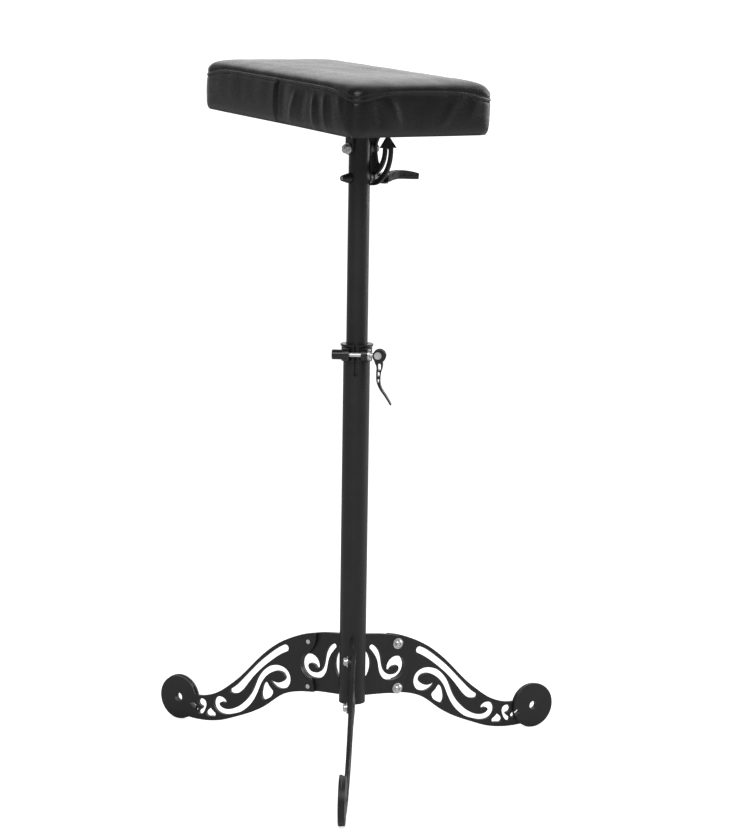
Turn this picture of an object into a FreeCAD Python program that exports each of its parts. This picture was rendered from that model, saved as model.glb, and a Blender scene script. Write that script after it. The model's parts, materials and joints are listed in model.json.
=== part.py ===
import FreeCAD, Part
import Sketcher
import math
import os
import re

from FreeCAD import Placement, Rotation, Vector

# Tattoo arm rest stand: a cushion that tilts on a sliding mast, over three scroll-cut legs.
# +Z is up, the floor is Z = 0, one leg points along +X and the cushion lies nearly along Y.

document = FreeCAD.newDocument("ArmRestStand")

# Driving sizes in millimetres and degrees: name, value, what it is
SIZES = [
    ("column_outer", 35.0, "outer diameter of the lower tube"),
    ("column_wall", 2.0, "wall of the lower tube"),
    ("column_low", 74.0, "height of the lower tube's bottom end"),
    ("column_top", 550.6, "height of the lower tube's top end"),
    ("mast_outer", 28.0, "outer diameter of the upper tube"),
    ("mast_wall", 2.0, "wall of the upper tube"),
    ("mast_reach", 505.0, "from the tilt pivot down to the upper tube's hidden bottom end"),
    ("mast_tip", 16.0, "from the tilt pivot up to the upper tube's top end"),
    ("slit_width", 3.6, "slit in the lower tube, the guide bush and the collar"),
    ("slit_depth", 35.7, "length of the slit below the tube's top end"),
    ("slit_hole", 5.4, "diameter of the drilled end of the slit"),
    ("bush_length", 70.0, "length of the guide bush between the tubes"),
    ("glide_length", 42.0, "length of the glide round the upper tube's foot"),
    ("glide_floor", 3.0, "floor of the glide under the upper tube"),
    ("cap_flange", 2.0, "visible plate of the plug in the lower tube"),
    ("cap_depth", 14.0, "how far that plug goes up the tube"),
    ("cap_wall", 2.0, "wall of that plug's sleeve"),
    ("running_gap", 0.08, "radial clearance of pieces that turn or slide on each other"),
    ("drill_gap", 0.3, "radial clearance of a bolt in a drilled hole"),
    ("face_gap", 0.1, "clearance between flat faces that turn past each other"),
    ("soft_gap", 0.3, "clearance of foam and covers"),
    ("leg_reach", 284.0, "from the column's axis to a foot's centre"),
    ("leg_rise", 160.0, "height that the leg outlines are drawn to"),
    ("leg_plate", 4.5, "thickness of a bolted leg plate"),
    ("hub_plate", 5.0, "thickness of a welded hub plate"),
    ("disc_outer", 62.2, "diameter of a foot disc"),
    ("disc_plate", 4.0, "thickness of a foot disc"),
    ("disc_hole", 11.5, "hole through a foot disc"),
    ("disc_edge", 0.6, "broken edge of a foot disc"),
    ("lobe_outer", 61.2, "round end of a leg plate behind its disc"),
    ("lobe_hole", 12.5, "clearance hole in that round end"),
    ("bolt_shank", 6.0, "shank diameter of every screw, bolt and skewer"),
    ("screw_head", 10.5, "head diameter of a leg screw"),
    ("screw_rise", 4.6, "head height of a leg screw"),
    ("screw_edge", 1.4, "rounded edge of that head"),
    ("socket_width", 4.0, "hexagon socket in that head, across its corners"),
    ("socket_depth", 2.6, "depth of that socket"),
    ("washer_outer", 14.6, "diameter of the plain washers"),
    ("washer_plate", 1.6, "thickness of the plain washers"),
    ("collar_low", 531.0, "height of the clamp collar's underside"),
    ("collar_height", 22.3, "height of the clamp collar"),
    ("collar_wall", 2.6, "wall of the clamp collar"),
    ("lip_plate", 2.6, "thickness of the collar's top lip"),
    ("lip_spread", 1.3, "how far the lip stands out past the collar"),
    ("skewer_level", 541.2, "height of the collar's skewer"),
    ("collar_turn", -32.3, "direction of the collar's skewer round the column"),
    ("skewer_reach", 22.6, "from the column's axis to the collar's skewer"),
    ("ear_space", 15.4, "space between the collar's ears"),
    ("ear_plate", 8.5, "thickness of an ear"),
    ("ear_round", 17.2, "diameter of an ear's round end"),
    ("nut_outer", 13.0, "diameter of the collar's adjusting nut"),
    ("nut_length", 14.0, "length of the collar's adjusting nut"),
    ("nut_edge", 0.8, "broken edge of the nuts and of the trunnions"),
    ("saddle_outer", 14.6, "diameter of the saddle washer under a cam"),
    ("saddle_plate", 4.0, "thickness of a saddle washer at its rim"),
    ("trunnion_outer", 10.4, "diameter of the cross barrel that a lever turns on"),
    ("trunnion_length", 12.5, "length of that barrel"),
    ("trunnion_stand", 13.1, "from a saddle washer's seat to the barrel's axis"),
    ("cam_outer", 17.4, "diameter of a lever's cam head"),
    ("cam_shift", 1.95, "how far the cam's centre lies outward from the barrel's axis"),
    ("cam_lift", -0.4, "how far the cam's centre lies above the barrel's axis"),
    ("cam_play", 0.4, "clearance of a cam in its saddle washer"),
    ("lever_reach", 65.0, "from the barrel's axis to the lever's tip"),
    ("lever_width", 11.5, "width of a lever"),
    ("pocket_width", 3.0, "width of the pockets in a lever's outer face"),
    ("pocket_floor", 0.4, "metal above the arm's middle curve in those pockets"),
    ("fork_space", 7.0, "slot in a lever's head for its skewer"),
    ("pivot_height", 805.0, "height of the tilt pivot"),
    ("skewer_drop", 37.5, "from the tilt pivot down to the tilt skewer"),
    ("tilt_roll", 101.0, "turn of the tilt skewer in the photographed pose"),
    ("tilt_swing", 67.0, "how far the tilt lever stands out in the photographed pose"),
    ("pad_swivel", 6.0, "turn of the cushion about the column in the photographed pose"),
    ("pad_tilt", 3.9, "tilt of the cushion in the photographed pose"),
    ("cheek_plate", 3.0, "thickness of the strap and the slotted plate"),
    ("strap_width", 15.5, "width of the strap"),
    ("spacer_plate", 2.9, "thickness of the washers between mast and slotted plate"),
    ("hex_across", 10.0, "nut and bolt head across the flats"),
    ("hex_height", 5.0, "height of the nut and the bolt head"),
    ("slot_space", 6.5, "width of the arc slot"),
    ("slot_sweep", 92.0, "sweep of the arc slot"),
    ("band_width", 20.0, "width of the band round the arc slot"),
    ("stem_flare", 47.0, "width of the slotted plate's stem at the top"),
    ("arrow_width", 35.6, "width of the arrowhead"),
    ("arrow_length", 16.0, "length of the arrowhead"),
    ("wing_outer", 12.8, "large end of the tapered nut"),
    ("wing_tip", 7.5, "small end of the tapered nut"),
    ("wing_length", 13.0, "length of the tapered nut"),
    ("pad_level", 30.5, "from the tilt pivot up to the cushion's underside"),
    ("mount_plate", 3.0, "thickness of the plate under the cushion"),
    ("mount_length", 92.0, "length of that plate along the cushion"),
    ("mount_width", 76.0, "width of that plate across the cushion"),
    ("mount_corner", 8.0, "corner radius of that plate"),
    ("mount_edge", 9.0, "from that plate's edges to its screws"),
    ("wood_screw", 4.2, "shank diameter of the bracket screws"),
    ("wood_head", 8.4, "head diameter of the bracket screws"),
    ("wood_rise", 2.4, "head height of the bracket screws"),
    ("wood_depth", 10.0, "how far those screws go into the board"),
    ("pad_length", 370.0, "length of the cushion"),
    ("pad_width", 212.0, "width of the cushion"),
    ("pad_height", 67.7, "height of the cushion at its crown"),
    ("pad_corner", 22.0, "corner radius of the cushion in plan"),
    ("pad_shift", 42.0, "from the column's axis to the cushion's middle"),
    ("cover_plate", 1.2, "thickness of the cover and of the base cloth"),
    ("hem_width", 24.0, "width of the cover's hem under the board"),
    ("board_plate", 12.0, "thickness of the board"),
    ("board_inset", 5.0, "from the cushion's edge to the board's edge"),
    ("overrun", 2.0, "how far every cutting solid stands past its face"),
]

sheet = document.addObject("Spreadsheet::Sheet", "Sizes")
for row, (alias, number, note) in enumerate(SIZES, start=1):
    sheet.set(f"A{row}", alias)
    sheet.set(f"B{row}", str(number))
    sheet.set(f"C{row}", note)
    sheet.setAlias(f"B{row}", alias)
document.recompute()


# Reading the sheet and building sketches

def size(alias):
    """Value of one cell of the sheet."""
    return float(sheet.get(alias))


def formula(text):
    """Expression text in which every alias points at its cell."""
    return re.sub(r"[a-z][a-z_]+", lambda word: "Sizes." + word.group(0), text)


def worth(text):
    """Present value of a formula."""
    return float(sheet.evalExpression(formula(text)))


def new_body(name):
    body = document.addObject("PartDesign::Body", name)
    body.Label = name
    return body


def new_sketch(body, name, role):
    """Sketch on one of the body's own origin planes."""
    sketch = body.newObject("Sketcher::SketchObject", name)
    planes = [feature for feature in body.Origin.OriginFeatures if feature.Role == role]
    sketch.AttachmentSupport = [(planes[0], "")]
    sketch.MapMode = "FlatFace"
    return sketch


def hold(sketch, element, point, x, y):
    """Ties a sketch point to two formulas; "0" puts it on the axis."""
    for kind, text, axis in (("DistanceX", x, -2), ("DistanceY", y, -1)):
        if text == "0":
            sketch.addConstraint(Sketcher.Constraint("PointOnObject", element, point, axis))
            continue
        rule = Sketcher.Constraint(kind, -1, 1, element, point, worth(text))
        index = sketch.addConstraint(rule)
        sketch.setExpression(f"Constraints[{index}]", formula(text))


def polygon(sketch, corners):
    """Closed outline through corners that are pairs of formulas."""
    places = [Vector(worth(x), worth(y), 0) for x, y in corners]
    count = len(places)
    first = sketch.GeometryCount
    for index in range(count):
        side = Part.LineSegment(places[index], places[(index + 1) % count])
        sketch.addGeometry(side, False)
    for index in range(count):
        after = first + (index + 1) % count
        sketch.addConstraint(Sketcher.Constraint("Coincident", first + index, 2, after, 1))
    for index, (x, y) in enumerate(corners):
        hold(sketch, first + index, 1, x, y)


def circle(sketch, diameter, x="0", y="0"):
    """Circle of a diameter formula about a held centre."""
    centre = Vector(worth(x), worth(y), 0)
    element = sketch.addGeometry(Part.Circle(centre, Vector(0, 0, 1), worth(diameter) / 2), False)
    hold(sketch, element, 3, x, y)
    index = sketch.addConstraint(Sketcher.Constraint("Diameter", element, worth(diameter)))
    sketch.setExpression(f"Constraints[{index}]", formula(diameter))


def turned(name, corners):
    """Body turned about Z from a profile of (radius, height) corners."""
    body = new_body(name)
    sketch = new_sketch(body, name + "_profile", "XZ_Plane")
    polygon(sketch, corners)
    revolution = body.newObject("PartDesign::Revolution", name + "_turning")
    revolution.Profile = sketch
    revolution.ReferenceAxis = (sketch, ["V_Axis"])
    revolution.Angle = 360.0
    return body


def pipe(name, outer, inner, low, high):
    """Plain ring or tube between two heights."""
    return turned(name, [
        (f"({inner}) / 2", low),
        (f"({outer}) / 2", low),
        (f"({outer}) / 2", high),
        (f"({inner}) / 2", high),
    ])


def bar(name, diameter, length, direction, middle=("0", "0", "0")):
    """Round bar of a length centred on a point, along one of the axes."""
    tool = document.addObject("Part::Cylinder", name)
    tool.setExpression("Radius", formula(f"({diameter}) / 2"))
    tool.setExpression("Height", formula(length))
    tool.Placement = Placement(Vector(), Rotation(Vector(0, 0, 1), direction))
    for axis, place, along in zip("xyz", middle, direction):
        text = f"({place}) - ({length}) / 2" if along else place
        tool.setExpression(f"Placement.Base.{axis}", formula(text))
    return tool


def block(name, spans):
    """Box from three pairs of formulas, low and high along X, Y and Z."""
    tool = document.addObject("Part::Box", name)
    for side, axis, (low, high) in zip(("Length", "Width", "Height"), "xyz", spans):
        tool.setExpression(side, formula(f"({high}) - ({low})"))
        tool.setExpression(f"Placement.Base.{axis}", formula(low))
    return tool


def join(name, *pieces):
    fusion = document.addObject("Part::MultiFuse", name)
    fusion.Shapes = list(pieces)
    return fusion


def cut(name, base, *tools):
    result = document.addObject("Part::Cut", name)
    result.Base = base
    result.Tool = tools[0] if len(tools) == 1 else join(name + "_tools", *tools)
    return result


def feature(name, shape):
    """Document object round a shape that Part's own functions made."""
    holder = document.addObject("Part::Feature", name)
    holder.Shape = shape
    return holder


def settled(piece, place=Placement()):
    """Shape of an object with its own and a further placement worked into its geometry."""
    document.recompute()
    shape = piece.Shape.copy()
    matrix = (place * shape.Placement).Matrix
    shape.Placement = Placement()
    return shape.transformed(matrix, True)


NODES = []


def keep(name, piece, place):
    """Names a finished sub-part, puts it in its place and lists it for the files."""
    piece.Label = name
    piece.Placement = place
    NODES.append(piece)
    return piece


def group(name, master, places):
    """One node with a separate solid of the master at every place."""
    document.recompute()
    copies = []
    for place in places:
        solid = master.Shape.copy()
        solid.Placement = place
        copies.append(solid)
    return keep(name, feature(name, Part.makeCompound(copies)), Placement())


# Where the main frames lie: the origin is under the middle of the base's box
X, Y, Z = Vector(1, 0, 0), Vector(0, 1, 0), Vector(0, 0, 1)
LEG_TURNS = {"right": 0.0, "left": 120.0, "front": 240.0}
foot_radius = size("disc_outer") / 2
foot_tip = size("leg_reach") + foot_radius
plate_face = size("hub_plate") / 2
disc_face = size("disc_plate") - plate_face
lean = math.radians(30)
base_low_x = -foot_tip * math.sin(lean) - plate_face * math.cos(lean)
base_low_y = -foot_tip * math.cos(lean) - plate_face * math.sin(lean)
base_high_y = foot_tip * math.cos(lean) + disc_face * math.sin(lean)
column_axis = Vector(-(base_low_x + foot_tip) / 2, -(base_low_y + base_high_y) / 2, 0)


def about_column(turn, height=0.0):
    """Frame on the column's axis, turned about it."""
    return Placement(column_axis + Vector(0, 0, height), Rotation(Z, turn))


column_frame = about_column(0.0)
collar_frame = about_column(size("collar_turn"), size("skewer_level"))
mast_frame = about_column(size("pad_swivel"), size("pivot_height"))
pad_frame = mast_frame * Placement(Vector(), Rotation(X, size("pad_tilt")))
tilt_skewer_frame = mast_frame * Placement(
    Vector(0, 0, -size("skewer_drop")), Rotation(X, size("tilt_roll")))
along_x = Placement(Vector(), Rotation(Z, X))


# Lower tube, slit at the top so that the collar can close it on the guide bush
def slit_tools(name, height):
    """Box and drilled end of the slit, open upward from its end height."""
    gap = block(name + "_gap", [
        ("-slit_width / 2", "slit_width / 2"),
        ("-column_outer", "0"),
        (height, "column_top + overrun"),
    ])
    end = bar(name + "_end", "slit_hole", "column_outer", Y, ("0", "-column_outer / 2", height))
    return gap, end


column_blank = pipe(
    "column_blank", "column_outer", "column_outer - 2 * column_wall", "column_low", "column_top")
column_tube = cut("column_tube", column_blank, *slit_tools("column_slit", "column_top - slit_depth"))
keep("column_tube", column_tube, about_column(size("collar_turn")))

bush_blank = pipe(
    "bush_blank", "column_outer - 2 * column_wall", "mast_outer + 2 * running_gap",
    "column_top - bush_length", "column_top")
bush_gap = block("bush_gap", [
    ("-slit_width / 2", "slit_width / 2"),
    ("-column_outer", "0"),
    ("column_top - bush_length - overrun", "column_top + overrun"),
])
keep("guide_bush", cut("guide_bush", bush_blank, bush_gap), about_column(size("collar_turn")))

end_cap = turned("column_end_cap", [
    ("0", "column_low - cap_flange"),
    ("column_outer / 2", "column_low - cap_flange"),
    ("column_outer / 2", "column_low"),
    ("column_outer / 2 - column_wall", "column_low"),
    ("column_outer / 2 - column_wall", "column_low + cap_depth"),
    ("column_outer / 2 - column_wall - cap_wall", "column_low + cap_depth"),
    ("column_outer / 2 - column_wall - cap_wall", "column_low"),
    ("0", "column_low"),
])
keep("column_end_cap", end_cap, column_frame)


# Outlines of the legs: each point is (share of leg_reach, share of leg_rise)
HUB_OUTLINE_SHARES = [
    (0.000, 1.021), (0.070, 1.015), (0.123, 1.006), (0.176, 0.993), (0.218, 0.976),
    (0.252, 0.959), (0.276, 0.922), (0.283, 0.866), (0.292, 0.800), (0.301, 0.731),
    (0.300, 0.662), (0.287, 0.603), (0.277, 0.550), (0.270, 0.500), (0.251, 0.472),
    (0.211, 0.475), (0.141, 0.486), (0.070, 0.491), (0.000, 0.492),
]
LEG_TOP_SHARES = [
    (0.191, 0.990), (0.232, 0.976), (0.317, 0.925), (0.370, 0.881), (0.423, 0.824),
    (0.475, 0.753), (0.528, 0.666), (0.581, 0.569), (0.634, 0.477), (0.687, 0.400),
    (0.739, 0.333), (0.792, 0.283), (0.845, 0.253), (0.875, 0.246), (0.898, 0.2475),
]
LEG_BOTTOM_SHARES = [
    (0.940, 0.035), (0.880, 0.031), (0.810, 0.040), (0.739, 0.066),
    (0.669, 0.111), (0.599, 0.161), (0.528, 0.221), (0.475, 0.281), (0.423, 0.353),
    (0.370, 0.411), (0.317, 0.445), (0.264, 0.464), (0.201, 0.477),
]
LOWER_EAR_SHARES = [(0.201, 0.477), (0.201, 0.525), (0.207, 0.562), (0.222, 0.593)]
BITE_SHARES = [(0.222, 0.593), (0.277, 0.702), (0.237, 0.803)]
UPPER_EAR_SHARES = [
    (0.237, 0.803), (0.212, 0.847), (0.196, 0.897), (0.190, 0.947), (0.191, 0.990),
]
SCREW_SHARES = [(0.235, 0.903), (0.235, 0.515)]

# Closed windows of the legs, by the same shares
TRIANGLE_SHARES = [
    (0.476, 0.483), (0.491, 0.456), (0.500, 0.403), (0.501, 0.350), (0.491, 0.323),
    (0.474, 0.333), (0.438, 0.384), (0.434, 0.412), (0.454, 0.450),
]
SMALL_TRIANGLE_SHARES = [
    (0.805, 0.155), (0.815, 0.141), (0.832, 0.095), (0.823, 0.079),
    (0.799, 0.082), (0.777, 0.089), (0.773, 0.106), (0.794, 0.141),
]
COMMA_SHARES = [
    (0.853, 0.224), (0.871, 0.210), (0.877, 0.185), (0.867, 0.160), (0.853, 0.150),
    (0.862, 0.125), (0.876, 0.100), (0.873, 0.081), (0.862, 0.081), (0.846, 0.103),
    (0.834, 0.144), (0.829, 0.181), (0.836, 0.212),
]

# Scrolls and slots follow a middle curve; the third share is half the width, of leg_reach
HUB_SCROLL_SHARES = [
    (0.096, 0.900, 0.0109), (0.119, 0.859, 0.0141), (0.135, 0.805, 0.0127),
    (0.143, 0.742, 0.0109), (0.150, 0.688, 0.0120), (0.162, 0.649, 0.0130),
    (0.179, 0.624, 0.0137), (0.203, 0.616, 0.0137), (0.229, 0.622, 0.0141),
    (0.251, 0.651, 0.0148), (0.259, 0.699, 0.0173), (0.248, 0.741, 0.0211),
    (0.224, 0.754, 0.0232), (0.201, 0.734, 0.0187), (0.189, 0.702, 0.0116),
]
LEG_SLOT_SHARES = [
    (0.362, 0.814, 0.0165), (0.405, 0.772, 0.0162), (0.456, 0.704, 0.0158),
    (0.510, 0.622, 0.0155), (0.556, 0.539, 0.0155), (0.594, 0.463, 0.0180),
    (0.630, 0.392, 0.0197), (0.655, 0.359, 0.0173), (0.677, 0.345, 0.0116),
]
GREAT_SCROLL_SHARES = [
    (0.448, 0.512, 0.0032), (0.431, 0.489, 0.0077), (0.410, 0.476, 0.0120),
    (0.384, 0.479, 0.0158), (0.360, 0.503, 0.0173), (0.349, 0.550, 0.0151),
    (0.361, 0.600, 0.0148), (0.393, 0.625, 0.0144), (0.424, 0.621, 0.0144),
    (0.458, 0.595, 0.0151), (0.488, 0.551, 0.0151), (0.515, 0.484, 0.0151),
    (0.532, 0.415, 0.0148), (0.549, 0.352, 0.0148), (0.571, 0.294, 0.0155),
    (0.602, 0.237, 0.0151), (0.637, 0.191, 0.0137), (0.673, 0.163, 0.0123),
    (0.706, 0.149, 0.0137), (0.733, 0.150, 0.0158), (0.755, 0.166, 0.0180),
    (0.767, 0.202, 0.0173), (0.758, 0.239, 0.0162), (0.737, 0.251, 0.0130),
    (0.718, 0.239, 0.0088),
]
FOOT_NOTCH_SHARES = [(0.891, 0.126, 0.0116), (0.917, 0.160, 0.0116)]

# Where the window beside the tube ends: its edge is an arc from the tube out and back
TUBE_WINDOW_REACH_SHARE = 0.093
TUBE_WINDOW_HEIGHT_SHARES = (0.619, 0.750, 0.881)


def leg_points(shares, back):
    """Points of a leg outline in its own plane, at a distance behind it."""
    return [Vector(row[0] * size("leg_reach"), back, row[1] * size("leg_rise")) for row in shares]


def curve(points, closed=False):
    """Smooth edge through the points."""
    spline = Part.BSplineCurve()
    spline.interpolate(Points=points, PeriodicFlag=closed)
    return spline.toShape()


def plate(edges, deep):
    """Solid of a flat outline given a thickness along Y."""
    outline = Part.Wire(Part.__sortEdges__(edges))
    return Part.Face(outline).extrude(Vector(0, deep, 0))


def ribbon(middle, halves, deep):
    """Plate that follows a curve, with half widths at its points and round ends."""
    spline = Part.BSplineCurve()
    spline.interpolate(middle)
    one_side, other_side, headings = [], [], []
    for point, half in zip(middle, halves):
        heading = spline.tangent(spline.parameter(point))[0]
        across = Vector(-heading.z, 0, heading.x) * half
        headings.append(heading)
        one_side.append(point + across)
        other_side.append(point - across)
    start_tip = middle[0] - headings[0] * halves[0]
    end_tip = middle[-1] + headings[-1] * halves[-1]
    return plate([
        curve(one_side),
        Part.Arc(one_side[-1], end_tip, other_side[-1]).toShape(),
        curve(other_side),
        Part.Arc(other_side[0], start_tip, one_side[0]).toShape(),
    ], deep)


def leg_window(shares, back, deep):
    """Cutting solid of a closed window or, where the rows have a width, of a scroll."""
    points = leg_points(shares, back - size("overrun"))
    deep = deep + 2 * size("overrun")
    if len(shares[0]) == 2:
        return plate([curve(points, closed=True)], deep)
    return ribbon(points, [row[2] * size("leg_reach") for row in shares], deep)


def leg_hole(place, diameter, back, deep):
    """Cutting solid of a round hole through a leg plate."""
    start = place + Vector(0, back - size("overrun") - place.y, 0)
    return Part.makeCylinder(diameter / 2, deep + 2 * size("overrun"), start, Y)


# Hub plate: welded edge-on to the tube, with the inner scroll and the window beside the tube
hub_back = -size("hub_plate") / 2


def hub_shape():
    deep = size("hub_plate")
    outline = leg_points(HUB_OUTLINE_SHARES, hub_back)
    blank = plate([curve(outline), Part.makeLine(outline[-1], outline[0])], deep)
    tube = Part.makeCylinder(size("column_outer") / 2, size("column_top"))
    reach = TUBE_WINDOW_REACH_SHARE * size("leg_reach")
    low, middle, high = [share * size("leg_rise") for share in TUBE_WINDOW_HEIGHT_SHARES]
    edge = size("column_outer") / 2
    start = hub_back - size("overrun")
    corners = [Vector(edge, start, high), Vector(edge, start, low), Vector(0, start, low),
               Vector(0, start, high)]
    arc = Part.Arc(corners[0], Vector(reach, start, middle), corners[1]).toShape()
    lines = [Part.makeLine(corners[1], corners[2]), Part.makeLine(corners[2], corners[3]),
             Part.makeLine(corners[3], corners[0])]
    window = plate([arc] + lines, deep + 2 * size("overrun"))
    hole = size("bolt_shank") + 2 * size("drill_gap")
    holes = [leg_hole(place, hole, hub_back, deep) for place in leg_points(SCREW_SHARES, 0)]
    scroll = leg_window(HUB_SCROLL_SHARES, hub_back, deep)
    return blank.cut([tube, window, scroll] + holes)


# Leg plate: lies against the hub plate's far face, with a bite round the inner scroll
leg_back = size("hub_plate") / 2


def leg_shape():
    deep = size("leg_plate")
    foot = Vector(size("leg_reach"), leg_back, foot_radius)
    top = leg_points(LEG_TOP_SHARES, leg_back)
    bottom = leg_points(LEG_BOTTOM_SHARES, leg_back)
    lobe = foot + Vector(size("lobe_outer") / 2, 0, 0)
    bite = leg_points(BITE_SHARES, leg_back)
    blank = plate([
        curve(top),
        Part.Arc(top[-1], lobe, bottom[0]).toShape(),
        curve(bottom),
        curve(leg_points(LOWER_EAR_SHARES, leg_back)),
        Part.Arc(*bite).toShape(),
        curve(leg_points(UPPER_EAR_SHARES, leg_back)),
    ], deep)
    windows = [LEG_SLOT_SHARES, GREAT_SCROLL_SHARES, TRIANGLE_SHARES, SMALL_TRIANGLE_SHARES,
               COMMA_SHARES, FOOT_NOTCH_SHARES]
    tools = [leg_window(shares, leg_back, deep) for shares in windows]
    thread = size("bolt_shank") + 2 * size("running_gap")
    tools += [leg_hole(place, thread, leg_back, deep) for place in leg_points(SCREW_SHARES, 0)]
    tools.append(leg_hole(foot, size("lobe_hole"), leg_back, deep))
    return blank.cut(tools)


# Foot disc: stands on its rim on the near face of the leg plate, notched at the leg's slot
disc_back = leg_back - size("disc_plate")


def disc_shape():
    deep = size("disc_plate")
    centre = Vector(size("leg_reach"), disc_back, foot_radius)
    disc = Part.makeCylinder(foot_radius, deep, centre, Y)
    rims = [edge for edge in disc.Edges if edge.Closed and edge.Length > foot_radius]
    disc = disc.makeChamfer(size("disc_edge"), rims)
    hole = leg_hole(centre, size("disc_hole"), disc_back, deep)
    return disc.cut([hole, leg_window(FOOT_NOTCH_SHARES, disc_back, deep)])


leg_forms = {"hub_plate": hub_shape(), "leg_plate": leg_shape(), "foot_disc": disc_shape()}
for kind, shape in leg_forms.items():
    for side, turn in LEG_TURNS.items():
        name = f"{kind}_{side}"
        keep(name, feature(name, shape.copy()), about_column(turn))

# Leg screws and their washers stand on the hub plates' near faces, with Z along the shank
screw_master = turned("leg_screw_master", [
    ("0", "socket_depth - screw_rise - washer_plate"),
    ("socket_width / 2", "socket_depth - screw_rise - washer_plate"),
    ("socket_width / 2", "-screw_rise - washer_plate"),
    ("screw_head / 2 - screw_edge", "-screw_rise - washer_plate"),
    ("screw_head / 2", "screw_edge - screw_rise - washer_plate"),
    ("screw_head / 2", "-washer_plate"),
    ("bolt_shank / 2", "-washer_plate"),
    ("bolt_shank / 2", "hub_plate + leg_plate"),
    ("0", "hub_plate + leg_plate"),
])
washer_master = pipe(
    "leg_washer_master", "washer_outer", "bolt_shank + 2 * drill_gap", "-washer_plate", "0")
screw_places = []
for turn in LEG_TURNS.values():
    for point in leg_points(SCREW_SHARES, hub_back):
        screw_places.append(about_column(turn) * Placement(point, Rotation(Z, Y)))
group("leg_screws", screw_master, screw_places)
group("leg_washers", washer_master, screw_places)


# Clamp collar in its own frame: skewer along X, ears towards -Y, Z up from the skewer
RING_OUTER = "column_outer + 2 * collar_wall"
COLLAR_MIDDLE = "collar_low + collar_height / 2 - skewer_level"
collar_ring = bar("collar_ring", RING_OUTER, "collar_height", Z, ("0", "0", COLLAR_MIDDLE))
collar_lip = bar(
    "collar_lip", RING_OUTER + " + 2 * lip_spread", "lip_plate", Z,
    ("0", "0", COLLAR_MIDDLE + " + collar_height / 2 - lip_plate / 2"))
ears = []
for name, low, high in (
        ("near_ear", "-ear_space / 2 - ear_plate", "-ear_space / 2"),
        ("far_ear", "ear_space / 2", "ear_space / 2 + ear_plate")):
    ears.append(block(name + "_arm", [
        (low, high), ("-skewer_reach", "0"), ("-ear_round / 2", "ear_round / 2")]))
    ears.append(bar(
        name + "_end", "ear_round", "ear_plate", X, (f"({low} + {high}) / 2", "-skewer_reach", "0")))
collar_blank = join("collar_blank", collar_ring, collar_lip, *ears)
collar_bore = bar(
    "collar_bore", "column_outer + 2 * running_gap", "collar_height", Z,
    ("0", "0", COLLAR_MIDDLE + " - lip_plate"))
lip_bore = bar(
    "lip_bore", "mast_outer + 4 * drill_gap", "2 * collar_height", Z)
collar_slit = block("collar_slit", [
    ("-slit_width / 2", "slit_width / 2"),
    ("-column_outer", "0"),
    ("-collar_height", "collar_height"),
])
skewer_hole = bar(
    "collar_skewer_hole", "bolt_shank + 2 * drill_gap", "column_outer * 2", X,
    ("0", "-skewer_reach", "0"))
clamp_collar = cut("clamp_collar", collar_blank, collar_bore, lip_bore, collar_slit, skewer_hole)
keep("clamp_collar", clamp_collar, collar_frame)


# Quick release in its own frame: skewer along X, lever hanging along -Z, barrel along Y.
# Arm: (across, down, half width) of its middle curve; plan: (half width, down); by lever_reach
ARM_SHARES = [
    (0.010, -0.110, 0.074), (0.035, -0.175, 0.068), (0.037, -0.245, 0.058), (0.022, -0.330, 0.047),
    (0.016, -0.410, 0.041), (0.017, -0.500, 0.036), (0.040, -0.600, 0.025), (0.085, -0.690, 0.020),
    (0.145, -0.775, 0.018), (0.205, -0.865, 0.017), (0.272, -0.975, 0.014),
]
PLAN_SHARES = [(1.00, -0.600), (0.97, -0.700), (0.86, -0.800), (0.64, -0.900), (0.34, -0.970)]

# Slots through the arm's edges: (across, top, bottom, half width); pockets: (top, bottom)
ARM_SLOT_SHARES = [
    (0.036, -0.186, -0.262, 0.032), (0.021, -0.345, -0.390, 0.023), (0.017, -0.482, -0.520, 0.018),
]
POCKET_SHARES = [(-0.620, -0.690), (-0.750, -0.815), (-0.870, -0.920)]


def long_hole(top, bottom, radius, along, deep):
    """Cutting solid of a slot with round ends between two points, cut along a direction."""
    ends = [Part.makeCylinder(radius, deep, point, along) for point in (top, bottom)]
    across = along.cross(bottom - top).normalize() * radius
    edges = Part.makePolygon([top + across, bottom + across, bottom - across, top - across,
                              top + across])
    return Part.Face(edges).extrude(along * deep).fuse(ends)


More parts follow.
